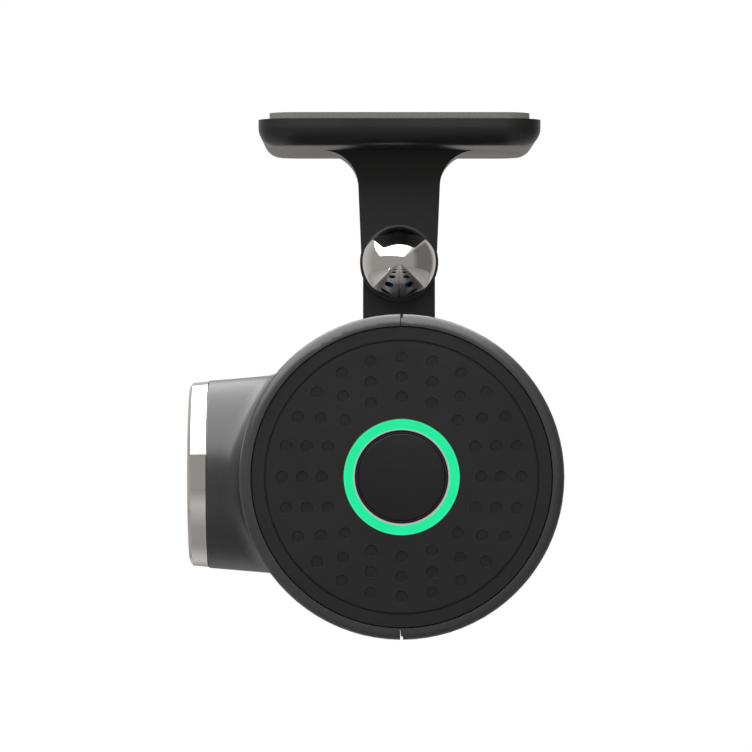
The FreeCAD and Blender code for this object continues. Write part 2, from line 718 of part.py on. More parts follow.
# ---------------------------------------------------------------- lower arm
def lower_arm():
    """Tongue, arm and foot; the foot bears on the chassis inside the case."""
    body = new_body("lower_arm")
    thick = "tongue_thickness / 2"
    Profile(body, "Y", "-" + thick, thick).circle("lower_knuckle_radius", "0", AXIS_DROP).pad()
    arm = Profile(body, "Y", "-" + thick, thick)
    arm.box("-lower_arm_width / 2", "lower_arm_width / 2", FOOT_TOP + " - foot_thickness / 2", AXIS_DROP).pad()
    foot = Profile(body, "Z", FOOT_UNDER, FOOT_TOP)
    foot.rounded_box("-foot_width / 2", "foot_width / 2", "-foot_depth / 2", "foot_depth / 2", "1.0").pad()
    dress(body, "Fillet", lambda edge: lies_at(edge, "z", FOOT_TOP) and in_lower_arm(edge),
          Radius="foot_fillet")
    holes = Profile(body, "Z", FOOT_UNDER, FOOT_TOP)
    heads = Profile(body, "Z", FOOT_TOP + " - small_head_height", FOOT_TOP)
    for x in both_signs("foot_screw_x"):
        holes.circle(HOLE, x)
        heads.circle("small_head_radius + screw_gap", x)
    holes.pocket()
    heads.pocket()
    bore = Profile(body, "Y", "-" + thick, thick)
    bore.circle("pin_radius + pin_gap", "0", AXIS_DROP).pocket()


def in_lower_arm(edge):
    box = edge.BoundBox
    return max(abs(box.XMin), abs(box.XMax)) < value("lower_arm_width / 2") + 0.1 and \
        max(abs(box.YMin), abs(box.YMax)) < value("tongue_thickness / 2") + 0.1


# ---------------------------------------------------------------- case shells
def half_shell(name, side):
    """Tube with a cap seat at each end, cut in half at the seam, with its screw bosses."""
    body = new_body(name)
    tube = Profile(body, "Y", "-" + CASE_END, CASE_END)
    tube.circle("case_radius").circle(INSIDE_RADIUS).pad()
    dress(body, "Fillet", lambda edge: round_edge(edge, "case_radius"), Radius="lip_round")
    for low, high in (("-" + CASE_END, "-" + SHELF), (SHELF, CASE_END)):
        Profile(body, "Y", low, high).circle("case_radius - lip_width").pocket()
    bosses = Profile(body, "Y", "-" + BULKHEAD_BACK, "-" + BULKHEAD_BACK + " + boss_length")
    holes = Profile(body, "Y", "-" + BULKHEAD_BACK, "-" + BULKHEAD_BACK + " + boss_length - boss_floor")
    far_bosses = Profile(body, "Y", BULKHEAD_BACK + " - boss_length", BULKHEAD_BACK)
    far_holes = Profile(body, "Y", BULKHEAD_BACK + " - boss_length + boss_floor", BULKHEAD_BACK)
    x = "%d * %s" % (side, BOSS_X)
    for ring in (bosses, far_bosses):
        ring.circle("boss_radius", x, BOSS_Z)
    for ring in (holes, far_holes):
        ring.circle("small_screw_radius", x, BOSS_Z)
    bosses.pad()
    far_bosses.pad()
    edge = "-seam_width / 2" if side < 0 else "-seam_width / 2 + seam_slit"
    away = "%d * (case_radius + overrun)" % -side
    left, right = (edge, away) if side < 0 else (away, edge)
    Profile(body, "Y", "-" + CASE_END, CASE_END).box(left, right, away_low(), away_high()).pocket()
    holes.pocket()
    far_holes.pocket()
    opening = Profile(body, "Z", FOOT_TOP, "case_radius + overrun")
    opening.rounded_box("-lower_arm_width / 2 - arm_opening_gap", "lower_arm_width / 2 + arm_opening_gap",
                        "-tongue_thickness / 2 - arm_opening_gap", "tongue_thickness / 2 + arm_opening_gap",
                        "arm_opening_gap").pocket()
    vent = Profile(body, "Z", FOOT_TOP, "case_radius + overrun")
    slot = vent.obround("%d * vent_x" % side, "-vent_first", "vent_across", "vent_along").pocket()
    linear(body, slot, "Y", "vent_count", "(vent_count - 1) * vent_pitch", backwards=True)
    return body


def away_low():
    return "-case_radius - overrun"


def away_high():
    return "case_radius + overrun"


def front_shell():
    body = half_shell("front_shell", -1)
    barrel = Profile(body, "Z")
    axis_y = "-" + LENS_Y
    barrel.outline(("-" + BARREL_ROOT, axis_y), ("-" + BARREL_ROOT, axis_y + " + barrel_root_radius"),
                   ("-" + BARREL_REACH, axis_y + " + barrel_end_radius"), ("-" + BARREL_REACH, axis_y))
    revolve_about_lens(barrel, "PartDesign::Revolution")
    dress(body, "Fillet", is_barrel_root, Radius="barrel_fillet")
    bore = Profile(body, "X", "-" + BARREL_REACH, "-" + BARREL_ROOT + " + case_wall")
    bore.circle("barrel_bore", axis_y, "0").pocket()


def revolve_about_lens(profile, kind):
    """Turns a profile about the lens axis, a line through the first and last corner of its outline."""
    feature = profile.body.newObject(kind, profile.body.Name + "_turned")
    feature.Profile = profile.sketch
    feature.ReferenceAxis = (profile.sketch, ["Edge1"])
    doc.recompute()
    return feature


def is_barrel_root(edge):
    """The curve where the barrel leaves the case: it winds over the case's outside."""
    points = edge.discretize(9)
    on_case = all(abs(math.hypot(point.x, point.z) - value("case_radius")) < 0.02 for point in points)
    reach = [math.hypot(point.y + value(LENS_Y), point.z) for point in points]
    return on_case and all(abs(one - value("barrel_root_radius")) < 1 for one in reach)


def rear_shell():
    """The half that faces the cabin, with the card slot, the inlet and the microphone's port."""
    body = half_shell("rear_shell", 1)
    grooves = Profile(body, "Y", "-" + CASE_END, CASE_END)
    for low, high in (("case_radius - seam_depth", away_high()), (away_low(), "-case_radius + seam_depth")):
        grooves.box("-seam_width", "seam_width / 2", low, high)
    grooves.pocket()
    outside = "case_radius + overrun"
    inside = "case_radius - case_wall - overrun"
    inlet = Profile(body, "X", inside, outside)
    inlet.obround(USB_Y, USB_Z, "usb_width + 2 * socket_gap", "usb_height + 2 * socket_gap").pocket()
    slot = Profile(body, "X", inside, outside)
    slot.obround(CARD_Y, CARD_Z, "card_width + 2 * card_slot_slack",
                 "card_thickness + card_slot_slack").pocket()
    port = Profile(body, "X", inside, outside)
    port_z = BOARD_TOP + " + microphone_thickness / 2"
    port.circle("microphone_port", "-" + BOARD_NEAR + " + microphone_inset", port_z).pocket()
    scoop = Profile(body, "Z", CARD_Z + " - scoop_half_height", CARD_Z + " + scoop_half_height")
    scoop.circle("scoop_radius", "case_radius - scoop_depth + scoop_radius", CARD_Y).pocket()


# ---------------------------------------------------------------- lens
def turned(name, *outlines):
    """A round piece on the lens axis; its outline is in (distance along -X as x, radius as y)."""
    body = new_body(name, y="-" + LENS_Y)
    for outline in outlines:
        Profile(body, "Z").outline(*outline).revolve("X")
    return body


def lens_trim_ring():
    spigot_radius = "(trim_inner_radius + trim_spigot_wall)"
    turned("lens_trim_ring", [
        ("-" + TRIM_BACK, "trim_radius"),
        ("-" + TRIM_BACK, spigot_radius),
        ("-" + TRIM_BACK + " + trim_spigot_length", spigot_radius),
        ("-" + TRIM_BACK + " + trim_spigot_length", "trim_inner_radius"),
        ("-" + TRIM_FRONT + " + trim_round", "trim_inner_radius"),
        ("-" + TRIM_FRONT, "trim_inner_radius + trim_round"),
        ("-" + TRIM_FRONT, "trim_front_radius - trim_round"),
        ("-" + TRIM_FRONT + " + trim_round", "trim_front_radius")])


def cover_glass():
    turned("cover_glass", [
        ("-" + GLASS_FRONT, "0"), ("-" + GLASS_FRONT, BEZEL_RADIUS),
        ("-" + GLASS_BACK, BEZEL_RADIUS), ("-" + GLASS_BACK, "0")])


def lens_bezel():
    back = "-" + GLASS_BACK + " + bezel_depth"
    turned("lens_bezel", [
        ("-" + GLASS_BACK, BEZEL_RADIUS), ("-" + GLASS_BACK, "bezel_front_radius"),
        (back, "bezel_back_radius"), (back, BEZEL_RADIUS)])


def lens_barrel():
    """Lens tube with a front flange, bored for its two elements."""
    front = "-" + LENS_FRONT
    back = "-" + LENS_BACK
    seat = front + " + element_thickness"
    step = front + " + lens_flange_length"
    turned("lens_barrel", [
        (front, "lens_flange_radius"), (front, "element_radius + optic_gap"),
        (seat, "element_radius + optic_gap"), (seat, "inner_element_radius + optic_gap"),
        (back, "inner_element_radius + optic_gap"), (back, "lens_body_radius"),
        (step, "lens_body_radius"), (step, "lens_flange_radius")])


def front_lens_element():
    tip = "-" + LENS_FRONT + " - element_rise"
    sag = "(element_dome - sqrt(element_dome ^ 2 - element_radius ^ 2))"
    back = "-" + LENS_FRONT + " + element_thickness"
    turned("front_lens_element", [
        (back, "0"), (tip, "0"), (tip + " + " + sag, "element_radius", "element_dome", -1),
        (back, "element_radius")])


def inner_lens_element():
    front = "-" + LENS_FRONT + " + inner_element_setback"
    back = front + " + inner_element_thickness"
    turned("inner_lens_element", [
        (back, "0"), (front, "0"), (front, "inner_element_radius"), (back, "inner_element_radius")])


def lens_retaining_ring():
    back = "-" + LENS_FRONT
    front = back + " - retainer_height"
    turned("lens_retaining_ring", [
        (front, "retainer_bore + retainer_height"), (back, "retainer_bore"),
        (back, "lens_flange_radius"), (front, "lens_flange_radius - retainer_height / 2")])


def lens_holder():
    """Square base on the sensor board with the threaded collar of the lens."""
    body = new_body("lens_holder", y="-" + LENS_Y)
    base = Profile(body, "X", "-" + HOLDER_STEP, "-" + SENSOR_FACE)
    base.rounded_box("-holder_half", "holder_half", "-holder_half", "holder_half", "holder_wall").pad()
    Profile(body, "X", "-" + HOLDER_FRONT, "-" + HOLDER_STEP).circle("lens_body_radius + holder_wall").pad()
    bore = Profile(body, "X", "-" + HOLDER_FRONT, "-" + SENSOR_FACE)
    bore.circle("lens_body_radius + optic_gap").pocket()
    cavity = Profile(body, "X", "-" + SENSOR_FACE + " - holder_cavity_depth", "-" + SENSOR_FACE)
    half = "(lens_body_radius + optic_gap)"
    cavity.box("-" + half, half, "-holder_cavity_half", "holder_cavity_half").pocket()


def sensor_board():
    body = new_body("sensor_board", y="-" + LENS_Y)
    board = Profile(body, "X", "-" + SENSOR_FACE, "-" + SENSOR_BACK)
    half_y = "sensor_board_width / 2"
    half_z = "sensor_board_height / 2"
    board.box("-" + half_y, half_y, "-" + half_z, half_z)
    for y, z in corners("sensor_screw_y", "sensor_screw_z"):
        board.circle(HOLE, y, z)
    board.pad()


def image_sensor():
    body = new_body("image_sensor", y="-" + LENS_Y)
    chip = Profile(body, "X", "-" + SENSOR_FACE + " - sensor_thickness", "-" + SENSOR_FACE)
    chip.box("-sensor_width / 2", "sensor_width / 2", "-sensor_height / 2", "sensor_height / 2").pad()


# ---------------------------------------------------------------- button end
def dimple(body, count, ring_radius):
    """One shallow conical dimple at twelve o'clock, repeated round the cap."""
    face = "-" + CAP_FACE
    profile = Profile(body, "X")
    profile.outline((face, ring_radius), (face + " + dimple_depth", ring_radius),
                    (face, ring_radius + " + dimple_radius"))
    groove = body.newObject("PartDesign::Groove", body.Name + "_dimple")
    groove.Profile = profile.sketch
    groove.ReferenceAxis = (profile.sketch, ["Edge2"])
    doc.recompute()
    return polar(body, groove, "Y", count)


def button_end_cap():
    """Flush disc with a fine groove, three rings of dimples and a hole for the light ring."""
    body = new_body("button_end_cap")
    disc = Profile(body, "Y", "-" + CAP_FACE, "-" + CAP_BACK)
    disc.circle("case_radius - lip_width - cap_gap").circle("ring_outer_radius + ring_gap").pad()
    groove = Profile(body, "Y", "-" + CAP_FACE, "-" + CAP_FACE + " + cap_groove_depth")
    groove.circle(GROOVE_RADIUS + " + cap_groove_width / 2")
    groove.circle(GROOVE_RADIUS + " - cap_groove_width / 2").pocket()
    dimple(body, "outer_dimples_count", OUTER_DIMPLES)
    dimple(body, "middle_dimples_count", MIDDLE_DIMPLES)
    dimple(body, "inner_dimples_count", INNER_DIMPLES)


def light_ring():
    body = new_body("light_ring")
    neck = Profile(body, "Y", "-" + CAP_FACE, "-" + CAP_BACK)
    neck.circle("ring_outer_radius").circle("ring_inner_radius").pad()
    flange = Profile(body, "Y", "-" + CAP_BACK, "-" + CAP_BACK + " + ring_flange_height")
    flange.circle("ring_flange_radius").circle("ring_inner_radius").pad()


def button_guide():
    body = new_body("button_guide")
    guide = Profile(body, "Y", "-" + CAP_FACE, "-" + GUIDE_BACK)
    guide.circle("ring_inner_radius - ring_gap").circle("guide_inner_radius").pad()


def button_cap():
    """Bevelled push button with a flange behind its guide and a post over the switch."""
    body = new_body("button_cap")
    face = "-" + CAP_FACE
    behind = "-" + GUIDE_BACK + " + button_gap"
    inner = "(button_flange_radius - button_skirt_wall)"
    under = face + " + button_face_thickness"
    tip = "-(" + SWITCH_TOP + " + plunger_clear + button_travel)"
    Profile(body, "Z").outline(
        ("0", face), ("0", tip), ("button_post_radius", tip), ("button_post_radius", under),
        (inner, under), (inner, behind + " + button_flange_height"),
        ("button_flange_radius", behind + " + button_flange_height"),
        ("button_flange_radius", behind), (BUTTON_RADIUS, behind),
        (BUTTON_RADIUS, face + " + button_bevel"), (BUTTON_RADIUS + " - button_bevel", face)).revolve("Y")


def ring_board():
    body = new_body("ring_board")
    Profile(body, "Y", "-" + RING_BOARD_FRONT, "-" + RING_BOARD_BACK).circle("ring_board_radius").pad()


def ring_leds():
    body = new_body("ring_leds")
    led = Profile(body, "Y", "-" + RING_BOARD_FRONT + " - led_height", "-" + RING_BOARD_FRONT)
    led.box("-led_side / 2", "led_side / 2", "led_circle - led_side / 2", "led_circle + led_side / 2")
    polar(body, led.pad(), "Y", "led_count")


def tact_switch():
    body = new_body("tact_switch")
    half = "switch_side / 2"
    top = "-" + SWITCH_TOP
    case = Profile(body, "Y", top + " + plunger_height", "-" + RING_BOARD_FRONT)
    case.box("-" + half, half, "-" + half, half).pad()
    Profile(body, "Y", top, "-" + RING_BOARD_FRONT).circle("plunger_radius").pad()


# ---------------------------------------------------------------- chassis
def chassis():
    """Deck with a bulkhead at each end, posts under the arm's foot and the wall behind the lens."""
    body = new_body("chassis")
    near_y = "-" + BULKHEAD_BACK
    deck = Profile(body, "Z", DECK_UNDER, "deck_top")
    wall_side = "-" + LENS_WALL_FACE
    step_y = "-" + LENS_Y + " + lens_wall_half"
    deck.outline((wall_side, near_y), ("deck_half_width", near_y), ("deck_half_width", BULKHEAD_BACK),
                 ("-deck_half_width", BULKHEAD_BACK), ("-deck_half_width", step_y), (wall_side, step_y)).pad()
    for low, high in (("-" + SHELF, near_y), (BULKHEAD_BACK, SHELF)):
        disc = Profile(body, "Y", low, high)
        disc.circle(INSIDE_RADIUS + " - bulkhead_gap")
        for x in both_signs(BOSS_X):
            disc.circle(HOLE, x, BOSS_Z)
        disc.pad()
    for low, high in (("-" + SHELF, "-" + SHELF + " + small_head_height"),
                      (SHELF + " - small_head_height", SHELF)):
        heads = Profile(body, "Y", low, high)
        for x in both_signs(BOSS_X):
            heads.circle("small_head_radius + screw_gap", x, BOSS_Z)
        heads.pocket()
    posts = Profile(body, "Z", "deck_top - deck_thickness / 2", FOOT_UNDER)
    for left, right in (("post_inner_x", "post_outer_x"), ("-post_outer_x", "-post_inner_x")):
        posts.box(left, right, "-foot_depth / 2", "foot_depth / 2")
    posts.pad()
    post_holes = Profile(body, "Z", FOOT_UNDER + " - boss_length", FOOT_UNDER)
    for x in both_signs("foot_screw_x"):
        post_holes.circle("small_screw_radius", x)
    post_holes.pocket()
    bosses = Profile(body, "Z", "deck_top - deck_thickness / 2", BOARD_UNDER)
    boss_holes = Profile(body, "Z", "deck_top - deck_thickness / 2", BOARD_UNDER)
    for x, y in board_screw_places():
        bosses.circle("deck_boss_radius", x, y)
        boss_holes.circle("small_screw_radius", x, y)
    bosses.pad()
    boss_holes.pocket()
    wall = Profile(body, "X", wall_side, wall_side + " + lens_wall_thickness")
    wall.box(near_y, step_y, DECK_UNDER, "lens_wall_top").pad()
    standoffs = Profile(body, "X", "-" + SENSOR_BACK, wall_side)
    standoff_holes = Profile(body, "X", "-" + SENSOR_BACK, wall_side + " + lens_wall_thickness")
    for y, z in corners("sensor_screw_y", "sensor_screw_z"):
        standoffs.circle("deck_boss_radius", "-" + LENS_Y + " + " + y, z)
        standoff_holes.circle("small_screw_radius", "-" + LENS_Y + " + " + y, z)
    standoffs.pad()
    standoff_holes.pocket()
    ring_seat = Profile(body, "Y", "-" + SHELF, "-" + RING_BOARD_BACK + " + ring_gap")
    ring_seat.circle("ring_board_radius + ring_gap").pocket()
    Profile(body, "Y", BULKHEAD_BACK, SHELF).circle(SPEAKER_RADIUS + " - speaker_land").pocket()
    bay = Profile(body, "Y", BULKHEAD_BACK + " - speaker_height - 2 * speaker_gap", BULKHEAD_BACK)
    bay.circle(SPEAKER_RADIUS + " + speaker_gap").pocket()


def board_screw_places():
    return [(x, y) for x in ("-board_screw_left", "board_screw_right")
            for y in ("-" + BOARD_NEAR + " + board_screw_inset", BOARD_FAR + " - board_screw_inset")]


# ---------------------------------------------------------------- electronics
def main_board():
    body = new_body("main_board")
    board = Profile(body, "Z", BOARD_UNDER, BOARD_TOP)
    board.box("-board_left", BOARD_RIGHT, "-" + BOARD_NEAR, BOARD_FAR)
    for x, y in board_screw_places():
        board.circle(HOLE, x, y)
    for left, right in (("post_inner_x", "post_outer_x"), ("-post_outer_x", "-post_inner_x")):
        board.box(left + " - window_gap", right + " + window_gap",
                  "-foot_depth / 2 - window_gap", "foot_depth / 2 + window_gap")
    board.pad()


def block(name, left, right, near_y, far_y, bottom, top):
    body = new_body(name)
    Profile(body, "Z", bottom, top).box(left, right, near_y, far_y).pad()
    return body


def processor():
    half = "processor_side / 2"
    block("processor", "-" + half, half, "-" + SINK_MIDDLE + " - " + half, "-" + SINK_MIDDLE + " + " + half,
          BOARD_TOP, PROCESSOR_TOP)


def thermal_pad():
    half = "(processor_side / 2 - 0.5)"
    block("thermal_pad", "-" + half, half, "-" + SINK_MIDDLE + " - " + half, "-" + SINK_MIDDLE + " + " + half,
          PROCESSOR_TOP, SINK_UNDER)


def heat_sink():
    """Base on the processor with tall fins that reach up under the vents."""
    body = block("heat_sink", "-sink_half_width", "sink_half_width", "-" + SINK_NEAR, "-sink_far",
                 SINK_UNDER, SINK_UNDER + " + sink_base")
    fin = Profile(body, "Z", SINK_UNDER + " + sink_base / 2", FOOT_TOP + " + sink_over_foot")
    fin.box("-sink_half_width + fin_thickness / 2", "-sink_half_width + 1.5 * fin_thickness",
            "-" + SINK_NEAR, "-sink_far")
    linear(body, fin.pad(), "X", "fin_count", "2 * sink_half_width - 2 * fin_thickness")


def supercapacitors():
    body = new_body("supercapacitors")
    cans = Profile(body, "Y", "capacitor_start", "capacitor_start + capacitor_length")
    for x in both_signs("capacitor_x"):
        cans.circle(CAPACITOR_RADIUS, x, DECK_UNDER + " - capacitor_gap - " + CAPACITOR_RADIUS)
    cans.pad()


def wireless_module():
    left = "-module_x - module_width / 2"
    right = "-module_x + module_width / 2"
    near_y = BOARD_FAR + " - module_inset - module_length / 2"
    far_y = BOARD_FAR + " - module_inset + module_length / 2"
    body = block("wireless_module", left, right, near_y, far_y, BOARD_TOP, BOARD_TOP + " + module_board")
    can = Profile(body, "Z", BOARD_TOP + " + module_board", BOARD_TOP + " + module_board + module_can")
    can.box(left + " + module_can_margin", right + " - module_can_margin",
            near_y + " + module_aerial", far_y + " - module_can_margin").pad()


def microphone():
    half = "microphone_side / 2"
    x = BOARD_RIGHT + " - microphone_edge"
    y = "-" + BOARD_NEAR + " + microphone_inset"
    block("microphone", x + " - " + half, x + " + " + half, y + " - " + half, y + " + " + half,
          BOARD_TOP, BOARD_TOP + " + microphone_thickness")


def card_socket():
    body = block("card_socket", CARD_SOCKET_FRONT + " - card_socket_length", CARD_SOCKET_FRONT,
                 CARD_Y + " - card_socket_width / 2", CARD_Y + " + card_socket_width / 2",
                 BOARD_TOP, BOARD_TOP + " + " + CARD_SOCKET_HEIGHT)
    half = "(card_width / 2 + card_slack)"
    mouth = Profile(body, "Z", BOARD_TOP + " + card_socket_wall",
                    BOARD_TOP + " + " + CARD_SOCKET_HEIGHT + " - card_socket_wall")
    mouth.box(CARD_NOSE + " - card_length - card_slack", CARD_SOCKET_FRONT, CARD_Y + " - " + half,
              CARD_Y + " + " + half).pocket()


def memory_card():
    """Small card with one cut corner and a grip ridge along its outer edge."""
    body = new_body("memory_card")
    back = CARD_NOSE + " - card_length"
    low, high = CARD_Y + " - card_width / 2", CARD_Y + " + card_width / 2"
    under = CARD_Z + " - card_thickness / 2"
    card = Profile(body, "Z", under, under + " + card_thickness")
    card.outline((back, low), (CARD_NOSE, low), (CARD_NOSE, high),
                 (back + " + card_notch_length + card_notch_width", high),
                 (back + " + card_notch_length", high + " - card_notch_width"),
                 (back, high + " - card_notch_width")).pad()
    ridge = Profile(body, "Z", under, under + " + card_thickness + card_lip")
    ridge.box(CARD_NOSE + " - card_grip", CARD_NOSE, low, high).pad()


def usb_socket():
    """Steel shell of a reversible inlet with its tongue."""
    body = new_body("usb_socket")
    back = USB_FRONT + " - usb_length"
    shell = Profile(body, "X", back, USB_FRONT)
    shell.obround(USB_Y, USB_Z, "usb_width", "usb_height").pad()
    mouth = Profile(body, "X", back + " + usb_back_wall", USB_FRONT)
    mouth.obround(USB_Y, USB_Z, "usb_width - 2 * usb_wall", "usb_height - 2 * usb_wall").pocket()
    tongue = Profile(body, "X", back + " + usb_back_wall / 2", back + " + usb_back_wall + usb_tongue_length")
    tongue.box(USB_Y + " - usb_tongue_width / 2", USB_Y + " + usb_tongue_width / 2",
               USB_Z + " - usb_tongue_thickness / 2", USB_Z + " + usb_tongue_thickness / 2").pad()


# ---------------------------------------------------------------- speaker end
def speaker_end_cap():
    """Twin of the button's disc with a ring of radial slots for the sound."""
    body = new_body("speaker_end_cap")
    disc = Profile(body, "Y", CAP_BACK, CAP_FACE)
    disc.circle("case_radius - lip_width - cap_gap").pad()
    groove = Profile(body, "Y", CAP_FACE + " - cap_groove_depth", CAP_FACE)
    groove.circle(GROOVE_RADIUS + " + cap_groove_width / 2")
    groove.circle(GROOVE_RADIUS + " - cap_groove_width / 2").pocket()
    slot = Profile(body, "Y", CAP_BACK, CAP_FACE)
    cut = slot.obround("sound_slot_middle", "0", "sound_slot_length", "sound_slot_width").pocket()
    polar(body, cut, "Y", "sound_slot_count")


def speaker():
    body = new_body("speaker")
    front = BULKHEAD_BACK + " - speaker_gap"
    Profile(body, "Y", front + " - speaker_rim_height", front).circle(SPEAKER_RADIUS).pad()
    Profile(body, "Y", front + " - speaker_height", front).circle(SPEAKER_RADIUS + " - speaker_rim_width").pad()


# ---------------------------------------------------------------- assembly
adhesive_pad()
mount_bracket()
mount_cover()
screws("cover_screws", "Z", corners("cover_screw_x", "cover_screw_y"),
       PLATE_TOP + " - small_head_height", PLATE_TOP,
       PLATE_BOTTOM + " + plate_floor", PLATE_TOP, z="0")
hinge_pin()
hinge_nut()
hinge_cap("hinge_cap_front", -1)
hinge_cap("hinge_cap_back", 1)
friction_washers()
lower_arm()
screws("arm_screws", "Z", [(x, "0") for x in both_signs("foot_screw_x")],
       FOOT_TOP + " - small_head_height", FOOT_TOP,
       FOOT_UNDER + " - boss_length + boss_floor", FOOT_TOP)
front_shell()
rear_shell()
lens_trim_ring()
cover_glass()
lens_bezel()
lens_barrel()
front_lens_element()
inner_lens_element()
lens_retaining_ring()
lens_holder()
sensor_board()
image_sensor()
screws("sensor_screws", "X",
       [("-" + LENS_Y + " + " + y, z) for y, z in corners("sensor_screw_y", "sensor_screw_z")],
       "-" + SENSOR_FACE + " - small_head_height", "-" + SENSOR_FACE,
       "-" + SENSOR_FACE + " - small_head_height", "-" + LENS_WALL_FACE + " + lens_wall_thickness / 2")
button_end_cap()
light_ring()
button_guide()
button_cap()
ring_board()
ring_leds()
tact_switch()
chassis()
screws("near_shell_screws", "Y", [(x, BOSS_Z) for x in both_signs(BOSS_X)],
       "-" + SHELF, "-" + SHELF + " + small_head_height",
       "-" + SHELF, "-" + BULKHEAD_BACK + " + boss_length - boss_floor - screw_tip_gap")
screws("far_shell_screws", "Y", [(x, BOSS_Z) for x in both_signs(BOSS_X)],
       SHELF + " - small_head_height", SHELF,
       BULKHEAD_BACK + " - boss_length + boss_floor + screw_tip_gap", SHELF)
main_board()
screws("board_screws", "Z", board_screw_places(),
       BOARD_TOP, BOARD_TOP + " + small_head_height",
       "deck_top - deck_thickness / 2 + screw_tip_gap", BOARD_TOP + " + small_head_height")
processor()
thermal_pad()
heat_sink()
supercapacitors()
wireless_module()
microphone()
card_socket()
memory_card()
usb_socket()
speaker_end_cap()
speaker()

doc.recompute()
pieces = [item for item in doc.Objects if item.TypeId == "PartDesign::Body"]
for item in doc.Objects:
    if "Invalid" in item.State or "Error" in item.State:
        raise ValueError(item.Name + " failed: " + str(item.State))
for piece in pieces:
    if piece.Shape.isNull() or not piece.Shape.isValid():
        raise ValueError(piece.Label + " has no valid shape")

os.makedirs("parts", exist_ok=True)
for piece in pieces:
    piece.Shape.exportStep("parts/" + piece.Label + ".step")
print(len(pieces), "pieces written")
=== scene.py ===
# %% [markdown]
# A round dash camera hangs below a windscreen mount on one hinge. Its solids are already modelled
# to size. This lesson dresses them: it loads them as a fixed frame, gives every piece a finish,
# and makes again in mesh code the pieces that need a finer surface than a solid's facets give.

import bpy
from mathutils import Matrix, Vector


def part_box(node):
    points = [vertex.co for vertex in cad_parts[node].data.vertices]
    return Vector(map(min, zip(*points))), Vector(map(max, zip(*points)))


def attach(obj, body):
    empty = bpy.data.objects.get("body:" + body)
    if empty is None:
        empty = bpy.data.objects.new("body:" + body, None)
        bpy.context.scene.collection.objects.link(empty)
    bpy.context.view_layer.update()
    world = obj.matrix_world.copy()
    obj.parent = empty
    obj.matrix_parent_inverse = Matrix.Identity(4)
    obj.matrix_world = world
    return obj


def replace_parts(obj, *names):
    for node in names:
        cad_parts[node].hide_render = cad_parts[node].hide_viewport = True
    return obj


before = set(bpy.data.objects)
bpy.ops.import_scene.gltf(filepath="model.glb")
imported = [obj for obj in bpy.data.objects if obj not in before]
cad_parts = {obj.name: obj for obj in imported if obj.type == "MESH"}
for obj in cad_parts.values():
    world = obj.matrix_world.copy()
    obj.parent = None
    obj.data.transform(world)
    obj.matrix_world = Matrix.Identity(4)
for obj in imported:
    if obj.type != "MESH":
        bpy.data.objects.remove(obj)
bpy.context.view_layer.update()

# %% [markdown]
# The solids come in metres, but a camera is drawn in millimetres. One factor and one small
# function let every size below be written the way a drawing gives it.

# %% Tools and units
import math

import bmesh
import bpy
from mathutils import Vector

mm = 0.001


def box_mm(node):
    """Lowest and highest corner of a solid, in millimetres."""
    low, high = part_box(node)
    return low / mm, high / mm


# %% [markdown]
# Everything sits about three centre lines: the case's along Y, the lens's along X and the hinge's
# along Y. They could be typed in again, but read from the solids they stay right when a size
# changes.

# %% Centre lines of the case, the lens and the hinge
case_low, case_high = box_mm("rear_shell")
case_z = (case_low.z + case_high.z) / 2
case_radius = (case_high.z - case_low.z) / 2
lens_low, lens_high = box_mm("lens_trim_ring")
lens_y = (lens_low.y + lens_high.y) / 2
lens_front = lens_low.x
hinge_low, hinge_high = box_mm("hinge_cap_front")
hinge_z = (hinge_low.z + hinge_high.z) / 2
case_axis = Vector((0, 0, case_z))
lens_axis = Vector((0, lens_y, case_z))
hinge_axis = Vector((0, 0, hinge_z))
print("case z %.1f r %.1f, lens y %.1f, hinge z %.1f mm" % (case_z, case_radius, lens_y, hinge_z))

# %% [markdown]
# Blender shades in linear light, and makers quote colours as sRGB hex. One function turns one
# into the other. A second adds a node to a material with its settings and its links in one line,
# which keeps each finish short enough to read. A third gives a texture's scale from a real size,
# because a procedural texture of scale 1 repeats about once a metre here.

# %% Colour, node and scale helpers
def linear(hex_colour):
    """An sRGB hex colour as the linear RGBA that Blender's sockets take."""
    parts = [int(hex_colour[at:at + 2], 16) / 255 for at in (1, 3, 5)]
    return [c / 12.92 if c <= 0.04045 else ((c + 0.055) / 1.055) ** 2.4 for c in parts] + [1.0]


def add(tree, kind, inputs=(), **settings):
    """Adds one node: settings are its own choices, inputs are values or sockets that feed it."""
    made = tree.nodes.new("ShaderNode" + kind)
    for name, choice in settings.items():
        setattr(made, name, choice)
    for socket, source in dict(inputs).items():
        if isinstance(source, bpy.types.NodeSocket):
            tree.links.new(source, made.inputs[socket])
        else:
            made.inputs[socket].default_value = source
    return made


def blank(name):
    """An empty material's node tree and its object coordinates, which stay put on the piece."""
    material = bpy.data.materials.new(name)
    material.use_nodes = True
    material.node_tree.nodes.clear()
    where = add(material.node_tree, "TexCoord").outputs["Object"]
    return material, material.node_tree, where


def show(tree, surface):
    add(tree, "OutputMaterial", {"Surface": surface.outputs[0]})


def every(size_mm):
    """Texture scale for a feature of this real size."""
    return 1 / (size_mm * mm)
